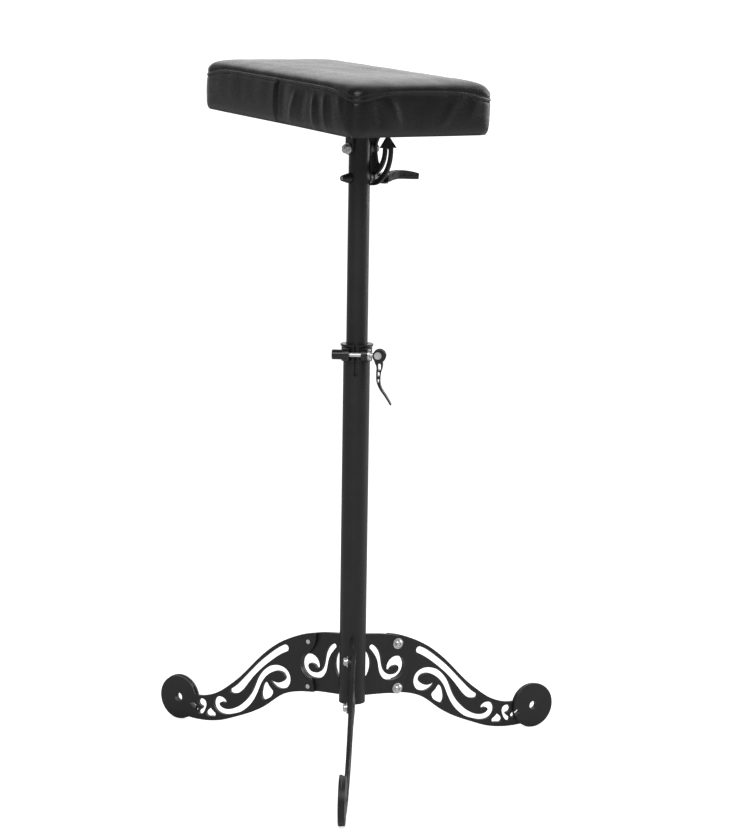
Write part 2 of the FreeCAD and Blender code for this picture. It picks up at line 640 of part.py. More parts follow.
def lever_shape():
    """Forked cam head and curved arm, about the barrel's axis, with a rounded paddle."""
    reach, wide, past = size("lever_reach"), size("lever_width"), size("overrun")
    back = -wide / 2
    centre = Vector(size("cam_shift"), back, size("cam_lift"))
    head = Part.makeCylinder(size("cam_outer") / 2, wide, centre, Y)
    middle = [Vector(row[0] * reach, back, row[1] * reach) for row in ARM_SHARES]
    arm = ribbon(middle, [row[2] * reach for row in ARM_SHARES], wide)

    start = -size("cam_outer")
    side = [Vector(start, -share * wide / 2, down * reach) for share, down in PLAN_SHARES]
    other = [Vector(point.x, -point.y, point.z) for point in reversed(side)]
    tip = Vector(start, 0, -reach)
    corners = [other[-1], Vector(start, wide / 2, -start), Vector(start, -wide / 2, -start), side[0]]
    edges = [Part.makeLine(a, b) for a, b in zip(corners, corners[1:])]
    edges.append(curve(side + [tip] + other))
    plan = Part.Face(Part.Wire(Part.__sortEdges__(edges))).extrude(Vector(2 * reach, 0, 0))

    bore_size = size("trunnion_outer") / 2 + size("running_gap")
    tools = [Part.makeCylinder(bore_size, wide + 2 * past, Vector(0, back - past, 0), Y)]
    space = size("fork_space")
    swing = size("cam_outer")
    tools.append(
        Part.makeBox(2 * swing, space, 2 * swing, Vector(-swing, -space / 2, -space / 2)))
    for across, high, low, half in ARM_SLOT_SHARES:
        top = Vector(across * reach, back - past, high * reach)
        bottom = Vector(across * reach, back - past, low * reach)
        tools.append(long_hole(top, bottom, half * reach, Y, wide + 2 * past))

    inner = [point + Vector(size("pocket_floor"), -past, 0) for point in middle]
    far = [Vector(-reach, inner[0].y, inner[-1].z), Vector(-reach, inner[0].y, inner[0].z)]
    kept = plate([
        curve(inner), Part.makeLine(inner[-1], far[0]), Part.makeLine(far[0], far[1]),
        Part.makeLine(far[1], inner[0]),
    ], wide + 2 * past)
    for high, low in POCKET_SHARES:
        slot = long_hole(Vector(0, 0, high * reach), Vector(0, 0, low * reach),
                         size("pocket_width") / 2, X, reach)
        tools.append(slot.cut(kept))
    return head.fuse(arm).common(plan).cut(tools).removeSplitter()


def quick_release(name, seat, far_end, frame, swing, nut_corners):
    """Skewer, saddle washer, barrel, lever and nut of one clamp; seat is the cam side's face."""
    axis_place = f"{seat} + face_gap + trunnion_stand"
    rod_length = f"{axis_place} + {far_end}"
    rod = bar(name + "_rod", "bolt_shank", rod_length, X,
              (f"({axis_place} - ({far_end})) / 2", "0", "0"))
    keep(name + "_skewer", feature(name + "_skewer", settled(rod)), frame)

    washer = bar(name + "_saddle_blank", "saddle_outer", "saddle_plate", X,
                 (f"{seat} + face_gap + saddle_plate / 2", "0", "0"))
    hollow = bar(name + "_saddle_hollow", "cam_outer + 2 * (cam_shift + cam_play)",
                 "2 * trunnion_length", Y, (axis_place, "0", "0"))
    hole = bar(name + "_saddle_hole", "bolt_shank + drill_gap", "4 * trunnion_stand", X,
               (seat, "0", "0"))
    keep(name + "_saddle_washer", cut(name + "_saddle_washer", washer, hollow, hole), frame)

    barrel = turned(name + "_barrel", [
        ("0", "-trunnion_length / 2"),
        ("trunnion_outer / 2 - nut_edge", "-trunnion_length / 2"),
        ("trunnion_outer / 2", "nut_edge - trunnion_length / 2"),
        ("trunnion_outer / 2", "trunnion_length / 2 - nut_edge"),
        ("trunnion_outer / 2 - nut_edge", "trunnion_length / 2"),
        ("0", "trunnion_length / 2"),
    ])
    barrel.Placement = Placement(Vector(worth(axis_place), 0, 0), Rotation(Z, Y))
    thread = bar(name + "_barrel_thread", "bolt_shank + 2 * running_gap", "trunnion_stand", X,
                 (f"{axis_place} - trunnion_stand / 2", "0", "0"))
    keep(name + "_trunnion", cut(name + "_trunnion", barrel, thread), frame)

    lever = feature(name + "_lever", lever_shape())
    keep(name + "_lever", lever, frame * Placement(
        Vector(worth(axis_place), 0, 0), Rotation(Y, -swing)))

    nut = turned(name + "_nut_blank", nut_corners)
    keep(name + "_nut", feature(name + "_nut", settled(nut, along_x)), frame)


COLLAR_SEAT = "ear_space / 2 + ear_plate"
NUT_BORE = "bolt_shank / 2 + running_gap"
collar_nut_face = f"-({COLLAR_SEAT}) - face_gap"
collar_skewer_frame = collar_frame * Placement(Vector(0, -size("skewer_reach"), 0), Rotation())
collar_rod_end = f"{COLLAR_SEAT} + nut_length - nut_edge"
quick_release("collar", COLLAR_SEAT, collar_rod_end, collar_skewer_frame, 0, [
    (NUT_BORE, collar_nut_face),
    ("nut_outer / 2", collar_nut_face),
    ("nut_outer / 2", f"{collar_nut_face} - nut_length + nut_edge"),
    ("nut_outer / 2 - nut_edge", f"{collar_nut_face} - nut_length"),
    (NUT_BORE, f"{collar_nut_face} - nut_length"),
])


# Mast: the upper tube, cross-drilled for the pivot bolt and the tilt skewer, and its glide
mast_blank = pipe(
    "mast_blank", "mast_outer", "mast_outer - 2 * mast_wall",
    "-mast_reach", "mast_tip")
pivot_hole = bar("pivot_hole", "bolt_shank + 2 * running_gap", "mast_outer * 2", X)
tilt_hole = bar(
    "tilt_hole", "bolt_shank + 2 * drill_gap", "mast_outer * 2", X, ("0", "0", "-skewer_drop"))
keep("upper_tube", cut("upper_tube", mast_blank, pivot_hole, tilt_hole), mast_frame)

MAST_FOOT = "pivot_height - mast_reach"
glide = turned("tube_glide", [
    ("0", f"{MAST_FOOT} - soft_gap - glide_floor"),
    ("column_outer / 2 - column_wall - running_gap", f"{MAST_FOOT} - soft_gap - glide_floor"),
    ("column_outer / 2 - column_wall - running_gap", f"{MAST_FOOT} + glide_length"),
    ("mast_outer / 2 + running_gap", f"{MAST_FOOT} + glide_length"),
    ("mast_outer / 2 + running_gap", f"{MAST_FOOT} - soft_gap"),
    ("0", f"{MAST_FOOT} - soft_gap"),
])
keep("tube_glide", glide, column_frame)


# Pivot hardware across the mast: bolt, nut, washers, all along X from the pivot's axis
STRAP_FACE = "mast_outer / 2 + soft_gap"
STRAP_BACK = f"{STRAP_FACE} + cheek_plate"
SLOTTED_FACE = "mast_outer / 2 + spacer_plate + 2 * face_gap"
SLOTTED_BACK = f"{SLOTTED_FACE} + cheek_plate"


def hexagon(name, low, high):
    """Hexagonal prism along X between two formulas, sized across its flats."""
    prism = document.addObject("Part::Prism", name)
    prism.Polygon = 6
    prism.setExpression("Circumradius", formula("hex_across") + " / sqrt(3)")
    prism.setExpression("Height", formula(f"({high}) - ({low})"))
    prism.Placement = along_x
    prism.setExpression("Placement.Base.x", formula(low))
    return prism


def washer(name, low, thick, frame):
    """Plain washer along X from a formula place."""
    ring = pipe(name + "_ring", "washer_outer", "bolt_shank + 2 * drill_gap", low, f"{low} + {thick}")
    keep(name, feature(name, settled(ring, along_x)), frame)


BOLT_SEAT = f"{SLOTTED_BACK} + 2 * face_gap + washer_plate"
NUT_SEAT = f"{STRAP_BACK} + 2 * face_gap + washer_plate"
bolt_head = hexagon("pivot_bolt_head", BOLT_SEAT, f"{BOLT_SEAT} + hex_height")
bolt_end = f"{NUT_SEAT} + hex_height + nut_edge"
bolt_shank = bar("pivot_bolt_shank", "bolt_shank", f"{BOLT_SEAT} + {bolt_end}", X,
                 (f"({BOLT_SEAT} - ({bolt_end})) / 2", "0", "0"))
keep("pivot_bolt", join("pivot_bolt", bolt_head, bolt_shank), mast_frame)
nut_blank = hexagon("pivot_nut_blank", f"-({NUT_SEAT}) - hex_height", f"-({NUT_SEAT})")
nut_thread = bar("pivot_nut_thread", "bolt_shank + 2 * running_gap", "mast_outer * 4", X)
keep("pivot_nut", cut("pivot_nut", nut_blank, nut_thread), mast_frame)
washer("pivot_bolt_washer", f"{SLOTTED_BACK} + face_gap", "washer_plate", mast_frame)
washer("pivot_nut_washer", f"-({NUT_SEAT}) + face_gap / 2", "washer_plate", mast_frame)
washer("pivot_spacer", "mast_outer / 2 + face_gap", "spacer_plate", mast_frame)
skewer_level = Placement(Vector(0, 0, -size("skewer_drop")), Rotation())
washer("skewer_spacer", "mast_outer / 2 + face_gap", "spacer_plate", mast_frame * skewer_level)

wing_face = "-mast_outer / 2 - soft_gap"
tilt_rod_end = "mast_outer / 2 + wing_length - nut_edge"
quick_release("tilt", SLOTTED_BACK, tilt_rod_end, tilt_skewer_frame, size("tilt_swing"), [
    (NUT_BORE, wing_face),
    ("wing_outer / 2", wing_face),
    ("wing_outer / 2", f"{wing_face} - wing_length / 4"),
    ("wing_tip / 2", f"{wing_face} - wing_length + nut_edge"),
    ("wing_tip / 2 - nut_edge / 2", f"{wing_face} - wing_length"),
    (NUT_BORE, f"{wing_face} - wing_length"),
])


# Bracket: slotted plate with its arrowhead, strap and mount plate, in the cushion's frame.
# Stem's edge: (share of half its width at the top, share of the top's height over the pivot)
STEM_SHARES = [
    (1.0, 1.0), (0.655, 0.524), (0.506, 0.324), (0.460, 0.084), (0.498, -0.145), (0.583, -0.367),
    (0.655, -0.549),
]
STEM_TOE = (0.800, -0.660)


def swept(radius, angle, start):
    """Point of the slotted plate by radius and sweep from straight down towards -Y."""
    turn = math.radians(angle)
    return Vector(start, -radius * math.sin(turn), -radius * math.cos(turn))


def flat(points, deep):
    """Plate along X from a closed run of corners."""
    edges = [Part.makeLine(a, b) for a, b in zip(points, points[1:] + points[:1])]
    return Part.Face(Part.Wire(edges)).extrude(Vector(deep, 0, 0))


def arc_band(radius, half, sweep, start, deep):
    """Band of an arc with a round near end and a straight far end."""
    inner, outer = radius - half, radius + half
    edges = [
        Part.Arc(*[swept(outer, angle, start) for angle in (0, sweep / 2, sweep)]).toShape(),
        Part.makeLine(swept(outer, sweep, start), swept(inner, sweep, start)),
        Part.Arc(*[swept(inner, angle, start) for angle in (sweep, sweep / 2, 0)]).toShape(),
        Part.makeLine(swept(inner, 0, start), swept(outer, 0, start)),
    ]
    band = Part.Face(Part.Wire(edges)).extrude(Vector(deep, 0, 0))
    end = Part.makeCylinder(half, deep, swept(radius, 0, start), X)
    return band.fuse(end)


def slotted_shape():
    face, deep, past = worth(SLOTTED_FACE), size("cheek_plate"), size("overrun")
    drop, sweep = size("skewer_drop"), size("slot_sweep")
    slot_half, band_half = size("slot_space") / 2, size("band_width") / 2
    wall = math.degrees((band_half - slot_half) / drop)
    top = size("pad_level") - size("mount_plate")
    flare_half = size("stem_flare") / 2
    back = [Vector(face, out * flare_half, high * top) for out, high in STEM_SHARES]
    front = [Vector(face, -out * flare_half, high * top) for out, high in STEM_SHARES + [STEM_TOE]]
    foot = [Vector(face, band_half, -drop), Vector(face, -band_half, -drop)]
    stem = flat(back + foot + front[::-1], deep)
    base = sweep + wall / 2
    band = arc_band(drop, band_half, base, face, deep)
    arrow_half = size("arrow_width") / 2
    heading = (swept(drop, base + 1, 0) - swept(drop, base, 0)).normalize()
    arrow = flat([
        swept(drop - arrow_half, base, face), swept(drop + arrow_half, base, face),
        swept(drop, base, face) + heading * size("arrow_length"),
    ], deep)
    slot = arc_band(drop, slot_half, sweep, face - past, deep + 2 * past)
    slot_end = Part.makeCylinder(slot_half, deep + 2 * past, swept(drop, sweep, face - past), X)
    hole_size = size("bolt_shank") / 2 + size("running_gap")
    hole = Part.makeCylinder(hole_size, deep + 2 * past, Vector(face - past, 0, 0), X)
    return stem.fuse([band, arrow]).removeSplitter().cut([slot, slot_end, hole])


keep("slotted_plate", feature("slotted_plate", slotted_shape()), pad_frame)


def strap_body():
    """Narrow cheek on the nut's side: a pad of a straight-sided outline with a round end."""
    round_end = bar("strap_end", "strap_width", "cheek_plate", X,
                    (f"-({STRAP_FACE}) - cheek_plate / 2", "0", "0"))
    arm = block("strap_arm", [
        (f"-({STRAP_BACK})", f"-({STRAP_FACE})"),
        ("-strap_width / 2", "strap_width / 2"),
        ("0", "pad_level - mount_plate"),
    ])
    hole = bar("strap_hole", "bolt_shank + 2 * running_gap", "mast_outer * 4", X)
    return cut("bracket_strap", join("strap_blank", round_end, arm), hole)


keep("bracket_strap", strap_body(), pad_frame)

mount_body = new_body("mount_plate_body")
mount_sketch = new_sketch(mount_body, "mount_outline", "XY_Plane")
polygon(mount_sketch, [
    ("-mount_width / 2", "-mount_length / 2"),
    ("mount_width / 2", "-mount_length / 2"),
    ("mount_width / 2", "mount_length / 2"),
    ("-mount_width / 2", "mount_length / 2"),
])
SCREW_X = "(mount_width / 2 - mount_edge)"
SCREW_Y = "(mount_length / 2 - mount_edge)"
SCREW_CORNERS = [(1, 1), (1, -1), (-1, 1), (-1, -1)]
for side_x, side_y in SCREW_CORNERS:
    circle(mount_sketch, "wood_screw + drill_gap", f"{side_x} * {SCREW_X}", f"{side_y} * {SCREW_Y}")
mount_pad = mount_body.newObject("PartDesign::Pad", "mount_pad")
mount_pad.Profile = mount_sketch
mount_pad.setExpression("Length", formula("mount_plate"))
document.recompute()
upright = [
    f"Edge{index}" for index, edge in enumerate(mount_pad.Shape.Edges, start=1)
    if edge.Curve.TypeId == "Part::GeomLine" and abs(edge.tangentAt(0).z) > 1 - 1e-6]
mount_fillet = mount_body.newObject("PartDesign::Fillet", "mount_corners")
mount_fillet.Base = (mount_pad, upright)
mount_fillet.setExpression("Radius", formula("mount_corner"))
keep("mount_plate", mount_body, pad_frame * Placement(
    Vector(0, 0, size("pad_level") - size("mount_plate")), Rotation()))

# Bracket screws come up through the plate and the cloth into the board
wood_master = turned("bracket_screw_master", [
    ("0", "-mount_plate - wood_rise"),
    ("wood_head / 4", "-mount_plate - wood_rise"),
    ("wood_head / 2", "-mount_plate - wood_rise / 4"),
    ("wood_head / 2", "-mount_plate"),
    ("wood_screw / 2", "-mount_plate"),
    ("wood_screw / 2", "cover_plate + wood_depth - wood_screw / 2"),
    ("0", "cover_plate + wood_depth"),
])
screw_level = size("pad_level")
screw_x, screw_y = worth(SCREW_X), worth(SCREW_Y)
group("bracket_screws", wood_master, [
    pad_frame * Placement(Vector(side_x * screw_x, side_y * screw_y, screw_level), Rotation())
    for side_x, side_y in SCREW_CORNERS])


# Cushion: rounded sections by (share of the height, share of half the width drawn in)
SIDE_SHARES = [(0.0, 0.016), (0.07, 0.003), (0.40, 0.009), (0.70, 0.003), (0.777, 0.008)]
RIM_SHARES = [
    (0.777, 0.008), (0.830, 0.013), (0.878, 0.027), (0.917, 0.051), (0.943, 0.084), (0.957, 0.125),
]
CROWN_SHARES = [(0.957, 0.125), (0.977, 0.28), (0.991, 0.45), (1.0, 0.64)]


def rounded(inset, height, corner):
    """Rounded rectangle of four lines and four arcs, drawn in from the cushion's outline."""
    half_x = size("pad_width") / 2 - inset
    half_y = size("pad_length") / 2 - inset
    shift = size("pad_shift")
    diagonal = corner * (1 - math.sqrt(0.5))
    corners = [(1, -1), (1, 1), (-1, 1), (-1, -1)]
    ends = []
    for side_x, side_y in corners:
        tip = Vector(side_x * half_x, shift + side_y * half_y, height)
        short = tip - Vector(0, side_y * corner, 0)
        long = tip - Vector(side_x * corner, 0, 0)
        middle = tip - Vector(side_x * diagonal, side_y * diagonal, 0)
        first, last = (short, long) if side_x * side_y > 0 else (long, short)
        ends.append((first, middle, last))
    edges = []
    for index, (first, middle, last) in enumerate(ends):
        edges.append(Part.Arc(first, middle, last).toShape())
        edges.append(Part.makeLine(last, ends[(index + 1) % len(ends)][0]))
    return Part.Wire(edges)


def cushion(depth):
    """Closed cushion form, drawn in all round by a depth from the cover's outside."""
    base = size("pad_level") + depth
    rise = size("pad_height") - 2 * depth
    half = size("pad_width") / 2
    parts = []
    for table in (SIDE_SHARES, RIM_SHARES, CROWN_SHARES):
        wires = []
        for high, inward in table:
            inset = inward * half + depth
            corner = size("pad_corner") + inset / 10 - depth
            wires.append(rounded(inset, base + high * rise, corner))
        parts.append(Part.makeLoft(wires, True, False))
    return parts[0].fuse(parts[1:])


def slab(inset, low, high):
    """Flat rounded plate of the cushion's outline, drawn in, between two heights."""
    wire = rounded(inset, low, size("pad_corner"))
    return Part.Face(wire).extrude(Vector(0, 0, high - low))


def screw_bores(low, high):
    """Cutting solids for the bracket screws between two heights."""
    radius = size("wood_screw") / 2 + size("drill_gap") / 2
    return [
        Part.makeCylinder(radius, high - low, Vector(side_x * screw_x, side_y * screw_y, low))
        for side_x, side_y in SCREW_CORNERS]


underside = size("pad_level")
board_low = underside + size("cover_plate")
board_high = board_low + size("board_plate")
past = size("overrun")

hem_opening = slab(size("hem_width"), underside - past, board_low + past)
cover = cushion(0.0).cut(cushion(size("cover_plate"))).cut(hem_opening)
keep("pad_cover", feature("pad_cover", cover), pad_frame)

foam_depth = size("cover_plate") + size("soft_gap")
below_foam = slab(-past, underside - past, board_high + size("soft_gap"))
keep("pad_foam", feature("pad_foam", cushion(foam_depth).cut(below_foam)), pad_frame)

board = slab(size("board_inset"), board_low, board_high)
board = board.cut(screw_bores(board_low - past, board_low + size("wood_depth") + past / 2))
keep("pad_board", feature("pad_board", board), pad_frame)

cloth = slab(size("hem_width") + size("soft_gap"), underside, board_low)
cloth = cloth.cut(screw_bores(underside - past, board_low + past))
keep("base_cloth", feature("base_cloth", cloth), pad_frame)


# Checks, then one file for each sub-part
document.recompute()
for item in document.Objects:
    if "Invalid" in item.State or "Error" in item.State:
        raise RuntimeError(f"{item.Label} failed: {item.State}")
for node in NODES:
    if node.Shape.isNull() or not node.Shape.isValid():
        raise RuntimeError(f"{node.Label} has no valid shape")

os.makedirs("parts", exist_ok=True)
for node in NODES:
    node.Shape.exportStep(f"parts/{node.Label}.step")
    print(node.Label, len(node.Shape.Solids), round(node.Shape.Volume / 1000, 2), "cm3")
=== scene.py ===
import bmesh
import bpy
import json
import math
import numpy as np
from mathutils import Matrix, Vector
from mathutils.bvhtree import BVHTree


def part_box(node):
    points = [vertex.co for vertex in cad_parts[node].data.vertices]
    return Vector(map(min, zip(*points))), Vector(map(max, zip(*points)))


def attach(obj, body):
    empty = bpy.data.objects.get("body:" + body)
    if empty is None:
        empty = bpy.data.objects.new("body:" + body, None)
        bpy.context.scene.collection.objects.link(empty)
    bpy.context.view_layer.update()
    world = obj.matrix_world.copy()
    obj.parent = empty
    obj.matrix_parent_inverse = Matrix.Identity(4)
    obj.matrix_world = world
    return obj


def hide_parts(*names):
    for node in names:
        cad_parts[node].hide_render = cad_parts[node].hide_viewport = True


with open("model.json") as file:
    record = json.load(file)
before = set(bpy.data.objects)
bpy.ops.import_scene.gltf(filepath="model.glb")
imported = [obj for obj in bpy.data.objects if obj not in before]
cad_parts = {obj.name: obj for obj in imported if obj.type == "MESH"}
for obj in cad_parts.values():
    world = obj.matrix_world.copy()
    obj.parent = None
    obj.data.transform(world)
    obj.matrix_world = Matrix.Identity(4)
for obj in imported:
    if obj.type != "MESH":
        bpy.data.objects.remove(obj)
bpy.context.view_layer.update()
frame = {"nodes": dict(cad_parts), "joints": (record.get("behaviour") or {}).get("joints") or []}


# The view: a product picture taken from about 2.9 m with a long lens, from just above the height
# of the cushion and looking down 9 degrees. The column stands in the middle of the picture and
# leans by 0.8 degrees.

joints = {joint["name"]: joint for joint in frame["joints"]}
column_foot = Vector(joints["mast_swivel"]["pos_m"])
column_foot.z = 0.0
picture_wide = 731
lens_in_pixels = 2262.8
sensor_wide = 36.0
camera_back, camera_rise = 2.918, 0.9382
look_turn = math.radians(-27.43)
look_down, look_aside, look_roll = 0.16277, -0.0043, 0.01474

to_front = Matrix.Rotation(look_aside, 3, "Z") @ Matrix.Rotation(-look_down, 3, "X")
right, away, up = (to_front @ Vector(axis) for axis in ((1, 0, 0), (0, 1, 0), (0, 0, 1)))
tipped_right = right * math.cos(look_roll) + up * math.sin(look_roll)
tipped_up = up * math.cos(look_roll) - right * math.sin(look_roll)
picture_turn = Matrix.Rotation(look_turn, 3, "Z")
camera_axes = [picture_turn @ axis for axis in (tipped_right, tipped_up, -away)]
camera_place = column_foot + picture_turn @ Vector((0.0, -camera_back, camera_rise))

camera_data = bpy.data.cameras.new("picture_camera")
camera_data.sensor_fit = "HORIZONTAL"
camera_data.sensor_width = sensor_wide
camera_data.lens = sensor_wide * lens_in_pixels / picture_wide
camera_data.clip_end = 50.0
camera = bpy.data.objects.new("picture_camera", camera_data)
camera.matrix_world = (Matrix.Translation(camera_place)
                       @ Matrix(camera_axes).transposed().to_4x4())
bpy.context.scene.collection.objects.link(camera)
bpy.context.scene.camera = camera
bpy.context.scene.view_settings.view_transform = "Standard"


# The studio: a pale floor that runs into a white background, under a sky that is brightest behind
# the stand, with a large soft lamp high in front and a tall soft one on the right. All are weak
# enough that colours render as they are written.

floor_reach = 9.0
floor_tone, floor_glow = 0.80, 0.78
sky_side = picture_turn @ Vector((0.36, 0.92, 0.15))
sky_dim, sky_bright = 0.16, 1.25
aim_rise = 0.55


def node_tools(tree):
    """Empties a node tree; returns a function that adds a node and one that joins two sockets."""
    tree.nodes.clear()

    def add(kind, sockets=(), **settings):
        """A node of a kind, given its settings and then the values of its sockets."""
        node = tree.nodes.new(kind)
        for key, value in settings.items():
            setattr(node, key, value)
        for socket, value in dict(sockets).items():
            node.inputs[socket].default_value = value
        return node

    return add, tree.links.new


def shader_sheet(name):
    """An empty material, with the functions that add and join its nodes."""
    material = bpy.data.materials.new(name)
    material.use_nodes = True
    return (material, *node_tools(material.node_tree))


def floor_finish():
    """White where the camera sees it lit, darker in a shadow; plain pale grey for other rays."""
    material, add, join = shader_sheet("studio_floor")
    path = add("ShaderNodeLightPath")
    pale = add("ShaderNodeBsdfDiffuse", {"Color": (floor_tone, floor_tone, floor_tone, 1)})
    glow = add("ShaderNodeEmission", {"Color": (1, 1, 1, 1), "Strength": floor_glow})
    both = add("ShaderNodeAddShader")
    choose = add("ShaderNodeMixShader")
    out = add("ShaderNodeOutputMaterial")
    join(pale.outputs[0], both.inputs[0])
    join(glow.outputs[0], both.inputs[1])
    join(path.outputs["Is Camera Ray"], choose.inputs[0])
    join(pale.outputs[0], choose.inputs[1])
    join(both.outputs[0], choose.inputs[2])
    join(choose.outputs[0], out.inputs[0])
    return material


def hang_sky():
    """White for the camera; on the object, light that rises with the cosine to the sky's side."""
    world = bpy.data.worlds.new("studio")
    bpy.context.scene.world = world
    world.use_nodes = True
    add, join = node_tools(world.node_tree)
    path = add("ShaderNodeLightPath")
    where = add("ShaderNodeTexCoord")
    cosine = add("ShaderNodeVectorMath", {1: sky_side}, operation="DOT_PRODUCT")
    light = add("ShaderNodeMapRange", {
        "From Min": 0.10, "From Max": 0.90, "To Min": sky_dim, "To Max": sky_bright})
    white = add("ShaderNodeMath", operation="MAXIMUM")
    back = add("ShaderNodeBackground", {"Color": (1, 1, 1, 1)})
    out = add("ShaderNodeOutputWorld")
    join(where.outputs["Generated"], cosine.inputs[0])
    join(cosine.outputs["Value"], light.inputs["Value"])
    join(light.outputs[0], white.inputs[0])
    join(path.outputs["Is Camera Ray"], white.inputs[1])
    join(white.outputs[0], back.inputs["Strength"])
    join(back.outputs[0], out.inputs[0])


def soft_lamp(name, place, wide, high, watts):
    """A rectangular lamp at a place given to the right, away and up, aimed at the column."""
    data = bpy.data.lights.new(name, "AREA")
    data.shape = "RECTANGLE"
    data.size, data.size_y, data.energy = wide, high, watts
    lamp = bpy.data.objects.new(name, data)
    spot = column_foot + picture_turn @ Vector(place)
    aim = (column_foot + Vector((0, 0, aim_rise))) - spot
    turn = aim.to_track_quat("-Z", "Y").to_matrix().to_4x4()
    lamp.matrix_world = Matrix.Translation(spot) @ turn
    bpy.context.scene.collection.objects.link(lamp)


floor_mesh = bpy.data.meshes.new("studio_floor")
floor_mesh.from_pydata(
    [(side_x * floor_reach, side_y * floor_reach, 0)
     for side_x, side_y in ((-1, -1), (1, -1), (1, 1), (-1, 1))], [], [(0, 1, 2, 3)])
floor = bpy.data.objects.new("studio_floor", floor_mesh)
bpy.context.scene.collection.objects.link(floor)
floor.data.materials.append(floor_finish())
hang_sky()
soft_lamp("front_lamp", (-0.5, -2.4, 2.3), wide=1.4, high=1.0, watts=30)
soft_lamp("right_lamp", (2.0, 0.9, 1.3), wide=0.5, high=1.8, watts=16)


# The frame: tubes, scroll-cut hub and leg plates, foot discs and the bracket under the cushion
# are mild steel, welded up and powder coated satin black, a skin with a fine orange-peel surface.

def set_tones(ramp, low, high, low_place=0.0, high_place=1.0):
    """Sets the two colours of a colour ramp and where they stand."""
    for end, colour, place in ((0, low, low_place), (1, high, high_place)):
        ramp.color_ramp.elements[end].position = place
        ramp.color_ramp.elements[end].color = (*colour, 1)


def powder_coat(name, shade, gloss, peel):
    """Black coat: cloudy gloss, orange peel and dust specks, each from a noise of its own size."""
    material, add, join = shader_sheet(name)
    where = add("ShaderNodeTexCoord")
    skin = add("ShaderNodeTexNoise", {"Scale": 900.0, "Detail": 3.0})
    cloud = add("ShaderNodeTexNoise", {"Scale": 22.0, "Detail": 5.0})
    speck = add("ShaderNodeTexNoise", {"Scale": 420.0, "Detail": 1.0})
    for noise in (skin, cloud, speck):
        join(where.outputs["Object"], noise.inputs["Vector"])
    tint = add("ShaderNodeValToRGB")
    set_tones(tint, (shade * 0.82, shade * 0.82, shade * 0.86),
              (shade * 1.2, shade * 1.2, shade * 1.22), 0.35, 0.68)
    dust = add("ShaderNodeValToRGB")
    set_tones(dust, (0, 0, 0), (1, 1, 1), 0.70, 0.80)
    dusty = (shade * 2.2, shade * 2.15, shade * 2.1, 1)
    blend = add("ShaderNodeMix", {"B": dusty}, data_type="RGBA")
    rough = add("ShaderNodeMapRange", {
        "From Min": 0.3, "From Max": 0.7, "To Min": gloss - 0.06, "To Max": gloss + 0.08})
    bump = add("ShaderNodeBump", {"Strength": peel, "Distance": 0.0003})
    coat = add("ShaderNodeBsdfPrincipled")
    out = add("ShaderNodeOutputMaterial")
    join(cloud.outputs["Fac"], tint.inputs["Fac"])
    join(speck.outputs["Fac"], dust.inputs["Fac"])
    join(tint.outputs["Color"], blend.inputs["A"])
    join(dust.outputs["Color"], blend.inputs["Factor"])
    join(blend.outputs["Result"], coat.inputs["Base Color"])
    join(cloud.outputs["Fac"], rough.inputs["Value"])
    join(rough.outputs[0], coat.inputs["Roughness"])
    join(skin.outputs["Fac"], bump.inputs["Height"])
    join(bump.outputs[0], coat.inputs["Normal"])
    join(coat.outputs[0], out.inputs[0])
    return material


def finish_nodes(material, *names):
    """Gives solids of the frame one finish."""
    for name in names:
        mesh = frame["nodes"][name].data
        mesh.materials.clear()
        mesh.materials.append(material)


satin_black = powder_coat("satin_black_coat", shade=0.019, gloss=0.42, peel=0.35)
finish_nodes(
    satin_black, "column_tube", "upper_tube",
    "hub_plate_right", "hub_plate_left", "hub_plate_front",
    "leg_plate_right", "leg_plate_left", "leg_plate_front",
    "foot_disc_right", "foot_disc_left", "foot_disc_front",
    "slotted_plate", "bracket_strap", "mount_plate")


# Fasteners: screws, washers, spacers, skewers, barrels and saddle washers are bright zinc-plated
# steel, turned or cold headed, with fine lathe lines and a little dull bloom.

def zinc_steel(name, tone, gloss):
    """Plated steel: grey metal, a cloudy bloom in its gloss and short scratches in its bump."""
    material, add, join = shader_sheet(name)
    where = add("ShaderNodeTexCoord")
    bloom = add("ShaderNodeTexNoise", {"Scale": 260.0, "Detail": 4.0})
    lines = add("ShaderNodeTexNoise", {"Scale": 2600.0})
    stretch = add("ShaderNodeMapping", {"Scale": (1.0, 1.0, 0.12)})
    join(where.outputs["Object"], bloom.inputs["Vector"])
    join(where.outputs["Object"], stretch.inputs["Vector"])
    join(stretch.outputs[0], lines.inputs["Vector"])
    tint = add("ShaderNodeValToRGB")
    set_tones(tint, (tone * 0.78, tone * 0.78, tone * 0.79), (tone, tone, tone * 1.01), 0.3, 0.7)
    rough = add("ShaderNodeMapRange", {
        "From Min": 0.3, "From Max": 0.7, "To Min": gloss - 0.05, "To Max": gloss + 0.12})
    bump = add("ShaderNodeBump", {"Strength": 0.2, "Distance": 0.0001})
    steel = add("ShaderNodeBsdfPrincipled", {"Metallic": 0.75})
    out = add("ShaderNodeOutputMaterial")
    join(bloom.outputs["Fac"], tint.inputs["Fac"])
    join(tint.outputs["Color"], steel.inputs["Base Color"])
    join(bloom.outputs["Fac"], rough.inputs["Value"])
    join(rough.outputs[0], steel.inputs["Roughness"])
    join(lines.outputs["Fac"], bump.inputs["Height"])
    join(bump.outputs[0], steel.inputs["Normal"])
    join(steel.outputs[0], out.inputs[0])
    return material


bright_zinc = zinc_steel("bright_zinc", tone=0.92, gloss=0.30)
finish_nodes(
    bright_zinc, "leg_screws", "leg_washers", "collar_skewer", "collar_trunnion",
    "collar_saddle_washer", "tilt_skewer", "tilt_trunnion", "tilt_saddle_washer",
    "pivot_bolt", "pivot_bolt_washer", "pivot_nut", "pivot_nut_washer", "bracket_screws",
    "pivot_spacer", "skewer_spacer")


# Clamps: the collar, the cam levers and the adjusting nuts are die-cast alloy with a smoother,
# glossier black coat than the frame.

